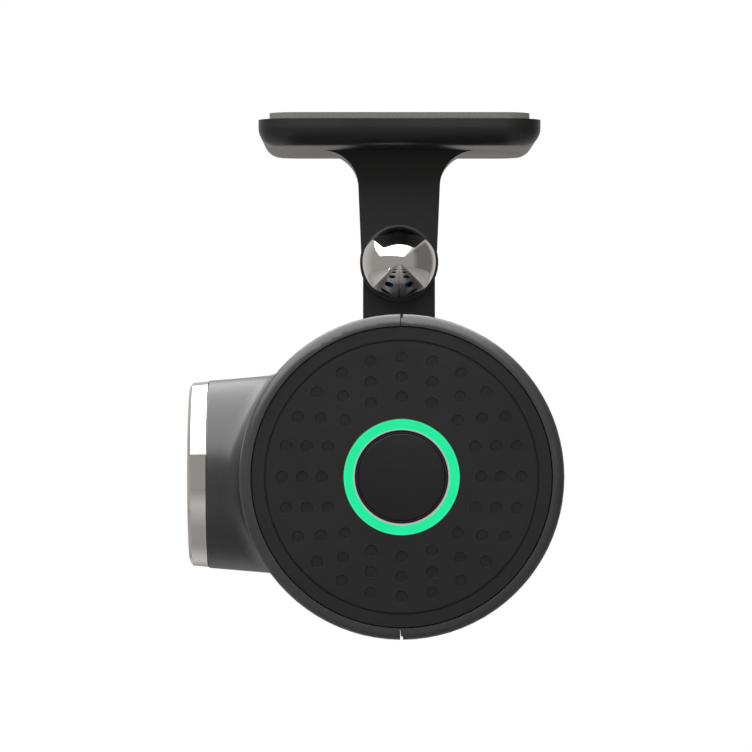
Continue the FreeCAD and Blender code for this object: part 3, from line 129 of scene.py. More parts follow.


# %% [markdown]
# The mount, the end caps and the button are moulded ABS from a spark-eroded tool. The tool leaves
# a fine even grain, about 0.15 mm, that breaks the reflections up to a satin. An image could
# carry it, but noise has no seams and no fixed resolution. ABS has an IOR near 1.5 and the
# shells' lacquer reflects a little more. The colour drifts very slightly where the melt cooled
# slower, and the gloss drifts with it, so no face is one flat tone. Below a given depth the finish
# can be darkened towards black, which is painted shade in the floors of dimples and grooves.

# %% Moulded ABS
def moulded_abs(name, deep, pale, gloss, dull, grain_mm=0.16, relief=0.25, ior=1.5,
                painted_shade_below=None):
    material, tree, where = blank(name)
    flow = add(tree, "TexNoise", {"Vector": where, "Scale": every(9), "Detail": 4.0,
                                   "Roughness": 0.6})
    colour = add(tree, "MixRGB", {"Fac": flow.outputs[0], "Color1": linear(deep),
                                  "Color2": linear(pale)})
    grain = add(tree, "TexNoise", {"Vector": where, "Scale": every(grain_mm), "Detail": 2.0,
                                    "Roughness": 0.6})
    rough = add(tree, "MapRange", {"Value": flow.outputs[0], "From Min": 0.3, "From Max": 0.7,
                                   "To Min": gloss, "To Max": dull})
    bump = add(tree, "Bump", {"Height": grain.outputs[0], "Strength": relief,
                              "Distance": 0.02 * mm})
    # Past the given depth the colour is mixed towards black: painted shade in dimple and groove
    # floors.
    if painted_shade_below is not None:
        deep_y = add(tree, "SeparateXYZ", {"Vector": where}).outputs["Y"]
        shade = add(tree, "MapRange", {"Value": deep_y, "From Min": (painted_shade_below + 0.03) * mm,
                                       "From Max": (painted_shade_below + 0.07) * mm,
                                       "To Min": 0.0, "To Max": 0.4})
        colour = add(tree, "MixRGB", {"Fac": shade.outputs[0], "Color1": colour.outputs[0],
                                      "Color2": linear("#000000")})
    show(tree, add(tree, "BsdfPrincipled", {
        "Base Color": colour.outputs[0], "Roughness": rough.outputs[0], "Normal": bump.outputs[0],
        "IOR": ior}))
    return material


mount_abs = moulded_abs("ABS black satin", "#161617", "#1a1a1b", 0.3, 0.36)
shell_abs = moulded_abs("ABS graphite lacquered", "#333334", "#363637", 0.3, 0.34,
                        relief=0.3, ior=1.62)
# The cap is darkened behind its face: painted shade in its dimples and groove.
cap_abs = moulded_abs("ABS black satin dimpled", "#171718", "#1b1b1c", 0.34, 0.4,
                      painted_shade_below=box_mm("button_end_cap")[0].y)
button_abs = moulded_abs("ABS black fine", "#0b0b0c", "#0e0e0f", 0.36, 0.42, grain_mm=0.1)
bezel_abs = moulded_abs("ABS black bezel", "#0b0b0c", "#0f0f10", 0.55, 0.65)
inner_abs = moulded_abs("PC ABS chassis black", "#1b1b1c", "#212123", 0.5, 0.6, grain_mm=0.3)
print("moulded plastics:", mount_abs.name, shell_abs.name, button_abs.name)

# %% [markdown]
# The lens ring and the hinge caps are chrome plate on plastic. Plated chrome is a near mirror
# with a faintly warm grey reflection. A perfect mirror looks made up, so polishing haze is added:
# a roughness that wanders between 0.03 and 0.07 in patches a few millimetres wide, and a very
# shallow orange peel.

# %% Chrome plate
def chrome_plate():
    material, tree, where = blank("Chrome plate")
    haze = add(tree, "TexNoise", {"Vector": where, "Scale": every(3), "Detail": 5.0,
                                   "Roughness": 0.65})
    rough = add(tree, "MapRange", {"Value": haze.outputs[0], "From Min": 0.3, "From Max": 0.7,
                                   "To Min": 0.03, "To Max": 0.07})
    tint = add(tree, "MixRGB", {"Fac": haze.outputs[0], "Color1": linear("#f4f1ee"),
                                "Color2": linear("#efecea")})
    peel = add(tree, "TexNoise", {"Vector": where, "Scale": every(1.2), "Detail": 1.0})
    bump = add(tree, "Bump", {"Height": peel.outputs[0], "Strength": 0.02, "Distance": 0.01 * mm})
    show(tree, add(tree, "BsdfPrincipled", {
        "Base Color": tint.outputs[0], "Metallic": 1.0, "Roughness": rough.outputs[0],
        "Normal": bump.outputs[0]}))
    return material


chrome = chrome_plate()
print("plating:", chrome.name)

# %% [markdown]
# The pad on the mount is closed-cell acrylic foam tape. Its cut edge shows cells of about 0.3 mm
# as small, slightly darker pits in a grey body. Voronoi cells are the nearest pattern: their
# distance field gives round pits.

# %% Foam tape
def foam_tape():
    material, tree, where = blank("Acrylic foam tape")
    cells = add(tree, "TexVoronoi", {"Vector": where, "Scale": every(0.28)})
    drift = add(tree, "TexNoise", {"Vector": where, "Scale": every(5), "Detail": 3.0})
    pits = add(tree, "MapRange", {"Value": cells.outputs["Distance"], "From Min": 0.1,
                                  "From Max": 0.55})
    body = add(tree, "MixRGB", {"Fac": drift.outputs[0], "Color1": linear("#6b6a67"),
                                "Color2": linear("#72716e")})
    colour = add(tree, "MixRGB", {"Fac": pits.outputs[0], "Color1": linear("#656461"),
                                  "Color2": body.outputs[0]})
    bump = add(tree, "Bump", {"Height": pits.outputs[0], "Strength": 0.3, "Distance": 0.03 * mm})
    show(tree, add(tree, "BsdfPrincipled", {
        "Base Color": colour.outputs[0], "Roughness": 0.85, "IOR": 1.47,
        "Normal": bump.outputs[0]}))
    return material


foam = foam_tape()
print("tape:", foam.name)

# %% [markdown]
# The status ring is an opal polycarbonate diffuser with eight green LEDs behind it. Opal plastic
# scatters the light so well that the ring looks even, a little stronger over each LED and near
# its two rims. The glow is an emission colour. The thin edges that touch the guide and the cap
# aren't lit and stay lilac.

# %% Opal diffuser, lit
ring_inner = 5.19
ring_outer = 6.45
led_count = 8


def opal_diffuser():
    material, tree, where = blank("Opal polycarbonate lit")
    place = add(tree, "SeparateXYZ", {"Vector": where})
    height = add(tree, "Math", {0: place.outputs["Z"], 1: case_z * mm}, operation="SUBTRACT")
    flat = add(tree, "CombineXYZ", {"X": place.outputs["X"], "Y": height.outputs[0]})
    radius = add(tree, "VectorMath", {0: flat.outputs[0]}, operation="LENGTH").outputs["Value"]
    angle = add(tree, "Math", {0: height.outputs[0], 1: place.outputs["X"]}, operation="ARCTAN2")
    turn = add(tree, "Math", {0: angle.outputs[0], 1: float(led_count)}, operation="MULTIPLY")
    wave = add(tree, "Math", {0: turn.outputs[0]}, operation="COSINE")
    speck = add(tree, "TexNoise", {"Vector": where, "Scale": every(0.4), "Detail": 2.0})
    even = add(tree, "MapRange", {"Value": wave.outputs[0], "From Min": -1.0, "To Min": 0.97,
                                  "To Max": 1.0})
    cloudy = add(tree, "MapRange", {"Value": speck.outputs[0], "To Min": 0.985, "To Max": 1.015})
    glow = add(tree, "Math", {0: even.outputs[0], 1: cloudy.outputs[0]}, operation="MULTIPLY")
    middle = add(tree, "Math", {0: radius, 1: (ring_inner + ring_outer) / 2 * mm},
                 operation="SUBTRACT")
    off_middle = add(tree, "Math", {0: middle.outputs[0]}, operation="ABSOLUTE")
    strong = add(tree, "MapRange", {"Value": off_middle.outputs[0], "From Min": 0.36 * mm,
                                    "From Max": 0.46 * mm, "To Min": 1.0, "To Max": 1.12})
    lit_glow = add(tree, "Math", {0: glow.outputs[0], 1: strong.outputs[0]}, operation="MULTIPLY")
    inside = add(tree, "MapRange", {"Value": radius, "From Min": (ring_inner + 0.1) * mm,
                                    "From Max": (ring_inner + 0.14) * mm})
    outside = add(tree, "MapRange", {"Value": radius, "From Min": (ring_outer - 0.08) * mm,
                                     "From Max": (ring_outer - 0.05) * mm})
    lit = add(tree, "MixRGB", {"Fac": inside.outputs[0], "Color1": linear("#b29da7"),
                               "Color2": linear("#00e99a")})
    edged = add(tree, "MixRGB", {"Fac": outside.outputs[0], "Color1": lit.outputs[0],
                                 "Color2": linear("#4a3040")})
    show(tree, add(tree, "BsdfPrincipled", {
        "Base Color": linear("#04140e"), "Roughness": 0.6, "IOR": 1.45,
        "Emission Color": edged.outputs[0], "Emission Strength": lit_glow.outputs[0]}))
    return material


opal = opal_diffuser()
print("diffuser:", opal.name, "for", led_count, "LEDs")

# %% [markdown]
# The cover window and the lenses are optical glass, IOR about 1.52, with an anti-reflection
# coating. The coating is a film 110 to 220 nm thick, which leaves the faint violet and green
# bloom seen on lenses. Glass in a car is never quite clean, so a thin smear varies the roughness.

# %% Coated glass
def coated_glass(name, tint, film_nm):
    material, tree, where = blank(name)
    smear = add(tree, "TexNoise", {"Vector": where, "Scale": every(4), "Detail": 5.0,
                                    "Roughness": 0.7})
    rough = add(tree, "MapRange", {"Value": smear.outputs[0], "From Min": 0.45, "From Max": 0.75,
                                   "To Min": 0.0, "To Max": 0.03})
    body = add(tree, "MixRGB", {"Fac": smear.outputs[0], "Color1": linear(tint),
                                "Color2": linear("#ffffff")})
    show(tree, add(tree, "BsdfPrincipled", {
        "Base Color": body.outputs[0], "Roughness": rough.outputs[0], "IOR": 1.52,
        "Transmission Weight": 1.0, "Thin Film Thickness": film_nm, "Thin Film IOR": 1.38}))
    return material


window_glass = coated_glass("Cover glass coated", "#f4f8f8", 110.0)
front_glass = coated_glass("Front element glass coated", "#e4ecf4", 180.0)
inner_glass = coated_glass("Inner element glass coated", "#dce8f0", 220.0)
print("glass:", window_glass.name, front_glass.name)

# %% [markdown]
# Inside the case each part has its trade's usual finish: black anodised lens barrel, green solder
# mask, tin-plated cans, blue anodised heat sink, shrink sleeve on the capacitors. Most of it is
# only glimpsed through the vents, the slots and the lens, yet each gets the grain its process
# leaves.

# %% Metals and boards inside
def worked(name, deep, pale, rough_low, rough_high, feature_mm, metal=0.0, ior=1.5,
           stretch=(1, 1, 1), relief=0.2):
    """A finish whose process leaves one grain: cast, blasted, brushed, drawn or screen-printed."""
    material, tree, where = blank(name)
    along = add(tree, "Mapping", {"Vector": where, "Scale": stretch})
    grain = add(tree, "TexNoise", {"Vector": along.outputs[0], "Scale": every(feature_mm),
                                   "Detail": 3.0})
    colour = add(tree, "MixRGB", {"Fac": grain.outputs[0], "Color1": linear(deep),
                                  "Color2": linear(pale)})
    rough = add(tree, "MapRange", {"Value": grain.outputs[0], "From Min": 0.3, "From Max": 0.7,
                                   "To Min": rough_low, "To Max": rough_high})
    bump = add(tree, "Bump", {"Height": grain.outputs[0], "Strength": relief,
                              "Distance": 0.02 * mm})
    show(tree, add(tree, "BsdfPrincipled", {
        "Base Color": colour.outputs[0], "Metallic": metal, "Roughness": rough.outputs[0],
        "IOR": ior, "Normal": bump.outputs[0]}))
    return material


lens_black = worked("Aluminium anodised black", "#0f0f10", "#17171a", 0.45, 0.6, 0.12)
heat_sink_blue = worked("Aluminium anodised blue", "#1f8fd0", "#2ba0e2", 0.3, 0.45, 0.3, metal=0.2,
                        stretch=(1, 0.1, 1))
screw_steel = worked("Steel zinc plated", "#a9aaad", "#c6c7c9", 0.25, 0.4, 0.15, metal=1.0)
shield_tin = worked("Tin plated steel", "#b4b3b0", "#cfcecb", 0.25, 0.38, 0.5, metal=1.0,
                    stretch=(0.15, 1, 1))
washer_fibre = worked("Acetal washer natural", "#c9c2ad", "#d6d0bd", 0.4, 0.55, 0.2)
solder_mask = worked("Solder mask green", "#0d3d27", "#155238", 0.3, 0.45, 0.6)
chip_resin = worked("Epoxy chip resin black", "#17181a", "#222326", 0.5, 0.65, 0.08)
sleeve_blue = worked("PVC sleeve dark blue", "#14243f", "#1a2f52", 0.3, 0.4, 0.8)
led_resin = worked("Silicone LED resin", "#d8d2a8", "#e6e1bd", 0.3, 0.45, 0.2)
thermal_gel = worked("Silicone thermal pad", "#8fa0b5", "#a2b2c6", 0.6, 0.75, 0.15)
speaker_black = worked("Paper cone and steel basket", "#141415", "#1f1f21", 0.6, 0.75, 0.12)
print("inside:", lens_black.name, heat_sink_blue.name, shield_tin.name)

# %% [markdown]
# A solid whose shape is right stays as it is and only gets its finish. The list below says which
# finish each piece wears, the way a parts list would.

# %% Dress the solids
finishes = {
    "adhesive_pad": foam, "mount_bracket": mount_abs, "mount_cover": mount_abs,
    "cover_screws": screw_steel, "hinge_pin": screw_steel, "hinge_nut": screw_steel,
    "hinge_cap_front": chrome, "hinge_cap_back": chrome, "friction_washers": washer_fibre,
    "lower_arm": mount_abs, "arm_screws": screw_steel, "front_shell": shell_abs,
    "rear_shell": shell_abs, "lens_trim_ring": chrome, "cover_glass": window_glass,
    "lens_bezel": bezel_abs, "lens_barrel": lens_black, "front_lens_element": front_glass,
    "inner_lens_element": inner_glass, "lens_retaining_ring": lens_black,
    "lens_holder": inner_abs, "sensor_board": solder_mask, "image_sensor": chip_resin,
    "sensor_screws": screw_steel, "button_end_cap": cap_abs, "light_ring": opal,
    "button_guide": bezel_abs, "button_cap": button_abs, "ring_board": solder_mask,
    "ring_leds": led_resin, "tact_switch": chip_resin, "chassis": inner_abs,
    "near_shell_screws": screw_steel, "far_shell_screws": screw_steel, "main_board": solder_mask,
    "board_screws": screw_steel, "processor": chip_resin, "thermal_pad": thermal_gel,
    "heat_sink": heat_sink_blue, "supercapacitors": sleeve_blue, "wireless_module": shield_tin,
    "microphone": shield_tin, "card_socket": shield_tin, "memory_card": chip_resin,
    "usb_socket": shield_tin, "speaker_end_cap": mount_abs, "speaker": speaker_black}


def wear(piece, material):
    """Puts the finish in every material slot of a piece."""
    if not piece.material_slots:
        piece.data.materials.append(material)
    for place in piece.material_slots:
        place.material = material


for node, material in finishes.items():
    wear(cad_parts[node], material)
print("dressed", len(finishes), "of", len(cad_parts), "solids")

# %% [markdown]
# Turned pieces, such as rings, caps and lenses, are round about one axis. Blender's Screw
# modifier could turn a profile, but a short bmesh function is easier to aim along X or Y and
# closes the piece by itself. Each outline is a closed loop of (distance along the axis, radius)
# points in millimetres.

# %% A lathe in mesh code
def finished(name, shape, body, material, sharp=32):
    """Turns a bmesh into a smooth-shaded object that rides on a body."""
    bmesh.ops.recalc_face_normals(shape, faces=shape.faces)
    mesh = bpy.data.meshes.new(name)
    shape.to_mesh(mesh)
    shape.free()
    mesh.shade_smooth()
    mesh.set_sharp_from_angle(angle=math.radians(sharp))
    piece = bpy.data.objects.new(name, mesh)
    bpy.context.scene.collection.objects.link(piece)
    wear(piece, material)
    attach(piece, body)
    return piece


def lathe(shape, centre, axis, outline, steps=160):
    """Adds a closed outline turned about the axis to a bmesh."""
    rings = []
    for along, radius in outline:
        ring = []
        for index in range(steps if radius > 0 else 1):
            turn = 2 * math.pi * index / steps
            across, up = radius * math.cos(turn), radius * math.sin(turn)
            offset = (along, across, up) if axis == "X" else (across, along, up)
            ring.append(shape.verts.new((centre + Vector(offset)) * mm))
        rings.append(ring)
    for first, second in zip(rings, rings[1:] + rings[:1]):
        for index in range(steps):
            after = (index + 1) % steps
            around = [first[index % len(first)], first[after % len(first)],
                      second[after % len(second)], second[index % len(second)]]
            corners = list(dict.fromkeys(around))
            if len(corners) > 2:
                shape.faces.new(corners)


def turned(name, centre, axis, outline, body, material, steps=160, sharp=32):
    shape = bmesh.new()
    lathe(shape, centre, axis, outline, steps)
    return finished(name, shape, body, material, sharp)


def arc(along, radius, size, start, end, steps=8):
    """Points of an arc about (along, radius), angles in degrees from the axis direction."""
    turns = [math.radians(start + (end - start) * index / steps) for index in range(steps + 1)]
    return [(along + size * math.cos(turn), radius + size * math.sin(turn)) for turn in turns]


# %% [markdown]
# The hinge's pin is hidden by a chromed half ball on each side. A mirror shows every flat, so the
# ball is turned with 160 steps round and 32 along, far finer than the solid. Its skirt snaps into
# the collar.

# %% Chromed hinge caps
ball_radius = (hinge_high.x - hinge_low.x) / 2
skirt_wall = 0.5
skirt_step = 0.04


def hinge_ball(name, node, side):
    low, high = box_mm(node)
    tip = low.y if side < 0 else high.y
    face = tip - side * ball_radius
    inner_end = high.y if side < 0 else low.y
    dome = [(side * along + face, radius)
            for along, radius in arc(0, 0, ball_radius, 0, 86, 32)]
    dome[0] = (tip, 0)
    skirt = ball_radius - skirt_wall
    outline = dome + [(face, ball_radius - skirt_step), (face, skirt), (inner_end, skirt),
                      (inner_end, 0)]
    piece = turned(name, hinge_axis, "Y", outline, "mount", chrome)
    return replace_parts(piece, node)


for name, node, side in (("chrome_ball_front", "hinge_cap_front", -1),
                         ("chrome_ball_back", "hinge_cap_back", 1)):
    print(hinge_ball(name, node, side).name, "r %.2f mm" % ball_radius)

# %% [markdown]
# The lens ring is a turned and plated collar. Its outside tapers slightly to the front and the
# front edge has a flat bevel, so it catches a line of its own. A shallow groove at its back holds
# a thin black gasket almost flush, which paints the joint's shade in as a dark line between
# plating and barrel. Each outline goes round its piece once.

# %% Chrome lens ring
ring_back_radius = (lens_high.y - lens_low.y) / 2
taper = 0.17
ring_front_radius = ring_back_radius - taper
bore_radius = (box_mm("cover_glass")[1].y - box_mm("cover_glass")[0].y) / 2 + 0.1
barrel_face = box_mm("front_shell")[0].x
barrel_gap = 0.02
ring_back = barrel_face - barrel_gap
spigot_end = lens_high.x
joint = 0.13
joint_depth = 0.09
bevel_along = 0.36
bevel_across = 0.46
mouth = 0.25
spigot_wall = 0.4
outline = [
    (lens_front + bevel_along, ring_front_radius), (lens_front, ring_front_radius - bevel_across),
    (lens_front, bore_radius + mouth), (lens_front + mouth, bore_radius),
    (spigot_end, bore_radius), (spigot_end, bore_radius + spigot_wall),
    (ring_back, bore_radius + spigot_wall), (ring_back, ring_back_radius - joint_depth),
    (ring_back - joint, ring_back_radius - joint_depth), (ring_back - joint, ring_back_radius)]
trim = turned("chrome_lens_ring", lens_axis, "X", outline, "camera", chrome,
              256, 24)
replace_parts(trim, "lens_trim_ring")
# The gasket is black ABS set almost flush in the groove: painted shade for the joint's dark line.
side_play = 0.01
shade_gasket_floor = ring_back_radius - 0.08
shade_gasket_top = ring_back_radius - 0.02
shade_gasket = turned("ring_shade_gasket", lens_axis, "X", [
    (ring_back - joint + side_play, shade_gasket_floor), (ring_back - side_play, shade_gasket_floor),
    (ring_back - side_play, shade_gasket_top), (ring_back - joint + side_play, shade_gasket_top)],
    "camera", bezel_abs, 256, 24)
print(trim.name, "r %.2f to %.2f mm," % (ring_back_radius, ring_front_radius), shade_gasket.name,
      "barrel face %.2f mm behind the front" % (barrel_face - lens_front))

# %% [markdown]
# The upper arm runs into the mount in a wide sweep. A chain of short faces makes the curve,
# tangent to the arm below and to the plate above, and reaches 0.01 mm past the arm's faces so the
# two never coincide.

# %% Sweep between the arm and the mount
plate_thickness = 3.2
plate_under = box_mm("mount_bracket")[1].z - plate_thickness
arm_half_width = 5.0
arm_half_depth = 5.51
sweep = 4.4
buried_top = 0.3
buried_side = 0.5


def root_sweep(side):
    shape = bmesh.new()
    middle = arm_half_width + sweep
    curve = [(middle - sweep * math.cos(math.radians(turn)),
              plate_under - sweep + sweep * math.sin(math.radians(turn)))
             for turn in range(0, 91, 5)]
    inner, top = arm_half_width - buried_side, plate_under + buried_top
    outline = curve + [(middle, top), (inner, top), (inner, plate_under - sweep)]
    near, far = [[shape.verts.new((side * x * mm, y * mm, z * mm)) for x, z in outline]
                 for y in (-arm_half_depth, arm_half_depth)]
    shape.faces.new(near)
    shape.faces.new(far[::-1])
    for index in range(len(outline)):
        shape.faces.new((near[index - 1], near[index], far[index], far[index - 1]))
    name = "arm_sweep_left" if side < 0 else "arm_sweep_right"
    return finished(name, shape, "mount", mount_abs)


print(root_sweep(-1).name, root_sweep(1).name, "r %.1f mm" % sweep)

# %% [markdown]
# Behind the ring sit the window, a black stepped bezel and the lens. A bezel that faces a lens
# carries fine baffle steps, which swallow stray light. They are cut here as real rings, because a
# bump alone would stay flat when the camera is seen from the side.

# %% Window, bezel and lens
glass_low, glass_high = box_mm("cover_glass")
glass_radius = (glass_high.y - glass_low.y) / 2
bevel = 0.12
window = turned("cover_window", lens_axis, "X", [
    (glass_low.x, 0), (glass_low.x, glass_radius - bevel), (glass_low.x + bevel, glass_radius),
    (glass_high.x - bevel, glass_radius), (glass_high.x, glass_radius - bevel), (glass_high.x, 0)],
    "camera", window_glass)
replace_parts(window, "cover_glass")

bezel_low, bezel_high = box_mm("lens_bezel")
bezel_outer = (bezel_high.y - bezel_low.y) / 2
baffle_steps = 6
flat_share = 0.8
mouth_radius = 8.3
throat_radius = 7.5
tread = (bezel_high.x - bezel_low.x) / baffle_steps
rise = (mouth_radius - throat_radius) / baffle_steps
cone = []
for step in range(baffle_steps):
    radius = mouth_radius - rise * step
    edge = bezel_low.x + (step + flat_share) * tread
    cone += [(bezel_low.x + step * tread, radius), (edge, radius), (edge, radius - rise)]
bezel = turned("baffle_bezel", lens_axis, "X", cone + [
    (bezel_high.x, throat_radius), (bezel_high.x, bezel_outer), (bezel_low.x, bezel_outer)],
    "camera", bezel_abs)
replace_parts(bezel, "lens_bezel")
print(window.name, bezel.name, "with", baffle_steps, "baffle steps")

# %% [markdown]
# The front element is a meniscus: a spherical cap on the outside, whose curve follows from its
# radius and how far it bulges.

# %% Curved front element
element_low, element_high = box_mm("front_lens_element")
element_radius = (element_high.y - element_low.y) / 2
bulge = 1.1
curve = (element_radius ** 2 + bulge ** 2) / (2 * bulge)
half_angle = math.degrees(math.asin(element_radius / curve))
front = [(element_low.x + curve - curve * math.cos(math.radians(half_angle * index / 24)),
          curve * math.sin(math.radians(half_angle * index / 24))) for index in range(25)]
front[0] = (element_low.x, 0)
element = turned("front_lens", lens_axis, "X", front + [
    (element_high.x, element_radius), (element_high.x, 0)],
    "camera", front_glass)
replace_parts(element, "front_lens_element")
print(element.name, "r %.1f mm" % element_radius)

# %% [markdown]
# The button's end cap is the face that people see. It has one fine groove near its rim and three
# rings of shallow round dimples for grip. The disc is turned on the lathe, and one Boolean takes
# out all the dimples, so each has a real edge that catches the light.

# %% End cap with dimples
cap_low, cap_high = box_mm("button_end_cap")
seat_fit = 0.05
cap_edge = 0.05
cap_radius = (cap_high.x - cap_low.x) / 2 + seat_fit
cap_face = cap_low.y
cap_back = cap_high.y
groove = case_radius - 2.92
groove_top, groove_floor, groove_depth = 0.11, 0.08, 0.22
outer_ring, middle_ring, inner_ring = case_radius - 4.79, 11.0, 8.8
dimple_rings = ((24, outer_ring), (20, middle_ring), (16, inner_ring))
dimple_mouth, dimple_floor, dimple_depth = 0.66, 0.61, 0.08
above = 0.3


def round_dimples(rings):
    """Cutters: shallow pockets with a short steep wall and a flat floor."""
    shape = bmesh.new()
    for count, radius in rings:
        for index in range(count):
            turn = 2 * math.pi * index / count
            middle = case_axis + Vector((radius * math.sin(turn), cap_face,
                                         radius * math.cos(turn)))
            lathe(shape, middle, "Y", [
                (-above, 0), (-above, dimple_mouth), (0, dimple_mouth),
                (dimple_depth, dimple_floor), (dimple_depth, 0)], 40)
    bmesh.ops.recalc_face_normals(shape, faces=shape.faces)
    mesh = bpy.data.meshes.new("dimple_cutters")
    shape.to_mesh(mesh)
    shape.free()
    cutters = bpy.data.objects.new("dimple_cutters", mesh)
    bpy.context.scene.collection.objects.link(cutters)
    return cutters


def cut(piece, cutters, sharp=32):
    """Takes the cutters out of the piece and keeps the result as plain mesh."""
    boolean = piece.modifiers.new("cut", "BOOLEAN")
    boolean.object = cutters
    boolean.solver = "EXACT"
    graph = bpy.context.evaluated_depsgraph_get()
    mesh = bpy.data.meshes.new_from_object(piece.evaluated_get(graph))
    piece.modifiers.clear()
    piece.data = mesh
    mesh.shade_smooth()
    mesh.set_sharp_from_angle(angle=math.radians(sharp))
    bpy.data.objects.remove(cutters)


cap_bore = ring_outer + 0.04
cap = turned("dimpled_end_cap", case_axis, "Y", [
    (cap_face, cap_bore), (cap_face, groove - groove_top),
    (cap_face + groove_depth, groove - groove_floor),
    (cap_face + groove_depth, groove + groove_floor), (cap_face, groove + groove_top),
    (cap_face, cap_radius - cap_edge), (cap_face + cap_edge, cap_radius),
    (cap_back, cap_radius), (cap_back, cap_bore)],
    "camera", cap_abs, 256)
cut(cap, round_dimples(dimple_rings))
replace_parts(cap, "button_end_cap")
print(cap.name, sum(count for count, radius in dimple_rings), "dimples,",
      len(cap.data.polygons), "faces")

# %% [markdown]
# The status ring, the guide and the button nest inside the cap. The ring stands flush. The black
# guide has a deep channel beside the ring and a higher collar round the button, which leaves a
# dark well.

# %% Status ring, guide and button
ring_seat = cap_face + 1.9
diffuser = turned("status_ring", case_axis, "Y", [
    (cap_face + 0.03, ring_inner), (cap_face, ring_inner + 0.04), (cap_face, ring_outer - 0.03),
    (cap_face + 0.03, ring_outer), (ring_seat, ring_outer), (ring_seat, ring_inner)],
    "camera", opal, 192)
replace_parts(diffuser, "light_ring")

guide_low, guide_high = box_mm("button_guide")
guide_outer = (guide_high.x - guide_low.x) / 2
button_radius = 4.78
guide_inner = button_radius + 0.05
collar = guide_inner + 0.17
channel_floor = cap_face + 0.5
collar_top = cap_face + 0.1
guide = turned("button_well", case_axis, "Y", [
    (channel_floor, guide_outer), (channel_floor, collar), (cap_face + 0.16, collar),
    (collar_top, collar - 0.05), (collar_top, guide_inner + 0.04),
    (cap_face + 0.14, guide_inner), (guide_high.y, guide_inner), (guide_high.y, guide_outer)],
    "camera", bezel_abs, 192)
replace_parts(guide, "button_guide")

button_low, button_high = box_mm("button_cap")
button_face = button_low.y
roll = 0.08
flange_wall = 0.7
cup_floor = button_face + 0.8
flange_radius = (button_high.x - button_low.x) / 2
flange_top = button_face + 1.38
flange_back = flange_top + 0.5
plunger = 1.0
button_outline = [(button_face, 0)]
button_outline += arc(button_face + roll, button_radius - roll, roll, 180, 90, 8)
button_outline += [
    (flange_top, button_radius), (flange_top, flange_radius), (flange_back, flange_radius),
    (flange_back, flange_radius - flange_wall), (cup_floor, flange_radius - flange_wall),
    (cup_floor, plunger), (button_high.y, plunger), (button_high.y, 0)]
button = turned("push_button", case_axis, "Y", button_outline, "button",
                button_abs, 192)
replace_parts(button, "button_cap")
print(diffuser.name, guide.name, button.name)

# %% [markdown]
# The studio is a plain one. A pale floor lies well below the hanging camera. Its colour carries
# painted shade: a greyer patch right under the camera is a painted shadow, and the floor is paler
# at the back than in front, painted in for the light falling off towards the front. One large
# softbox hangs over it and lights it softly from above, and dims and then fades out towards its
# right end. The sides of the studio are grey cloth, seen only in reflections: light at the back,
# grey in front and dark on the right. That gives the plating its flanks and keeps the black
# plastic dark. The world is white for the view, for reflections and for glass, and dimmer as a
# light, so colours keep their level. The floor is clear from below, so the underside can be
# looked at too.

# %% Floor, softbox and grey cloth
def sheet_of(name, corners, material):
    """A flat stage panel from its corners, in metres."""
    shape = bmesh.new()
    shape.faces.new([shape.verts.new(corner) for corner in corners])
    mesh = bpy.data.meshes.new(name)
    shape.to_mesh(mesh)
    shape.free()
    mesh.materials.append(material)
    panel = bpy.data.objects.new(name, mesh)
    bpy.context.scene.collection.objects.link(panel)
    return panel


floor_z = -0.25
painted_shadow_centre = (0, -0.085, floor_z)


def floor_paint():
    material, tree, where = blank("Studio floor")
    speck = add(tree, "TexNoise", {"Vector": where, "Scale": every(40), "Detail": 4.0})
    depth = add(tree, "SeparateXYZ", {"Vector": where}).outputs["Y"]
    # Paler towards the back: painted light, so the front stays greyer as painted shade.
    back = add(tree, "MapRange", {"Value": depth, "From Min": 0.0, "From Max": 0.16})
    # Greyer round a spot under the hanging camera: a painted shadow.
    away = add(tree, "VectorMath", {0: where, 1: painted_shadow_centre}, operation="DISTANCE")
    painted_shadow_fade = add(tree, "MapRange", {"Value": away.outputs["Value"], "From Min": 0.08,
                                         "From Max": 0.26})
    tone = add(tree, "MixRGB", {"Fac": painted_shadow_fade.outputs[0], "Color1": linear("#908e8c"),
                                "Color2": linear("#c8c6c4")})
    edged = add(tree, "MixRGB", {"Fac": back.outputs[0], "Color1": tone.outputs[0],
                                 "Color2": linear("#dad8d6")})
    cloudy = add(tree, "MapRange", {"Value": speck.outputs[0], "To Max": 0.12})
    colour = add(tree, "MixRGB", {"Fac": cloudy.outputs[0], "Color1": edged.outputs[0],
                                  "Color2": linear("#b4b2b0")})
    matt = add(tree, "BsdfDiffuse", {"Color": colour.outputs[0]})
    pale = add(tree, "Emission", {"Color": linear("#ffffff"), "Strength": 1.0})
    seen = add(tree, "Math", {0: add(tree, "LightPath").outputs["Is Camera Ray"], 1: 0.6},
               operation="MULTIPLY")
    paint = add(tree, "MixShader", {0: seen.outputs[0], 1: matt.outputs[0], 2: pale.outputs[0]})
    under = add(tree, "NewGeometry").outputs["Backfacing"]
    show(tree, add(tree, "MixShader", {0: under, 1: paint.outputs[0],
                                       2: add(tree, "BsdfTransparent").outputs[0]}))
    return material


def softbox_cloth(strength):
    material, tree, where = blank("Softbox cloth")
    across = add(tree, "SeparateXYZ", {"Vector": where}).outputs["X"]
    level = add(tree, "MapRange", {"Value": across, "From Min": 0.06, "From Max": 0.1,
                                   "To Min": strength, "To Max": 0.25 * strength})
    light = add(tree, "Emission", {"Color": linear("#ffffff"), "Strength": level.outputs[0]})
    thin = add(tree, "MapRange", {"Value": across, "From Min": 0.085, "From Max": 0.135})
    show(tree, add(tree, "MixShader", {0: thin.outputs[0], 1: light.outputs[0],
                                       2: add(tree, "BsdfTransparent").outputs[0]}))
    return material


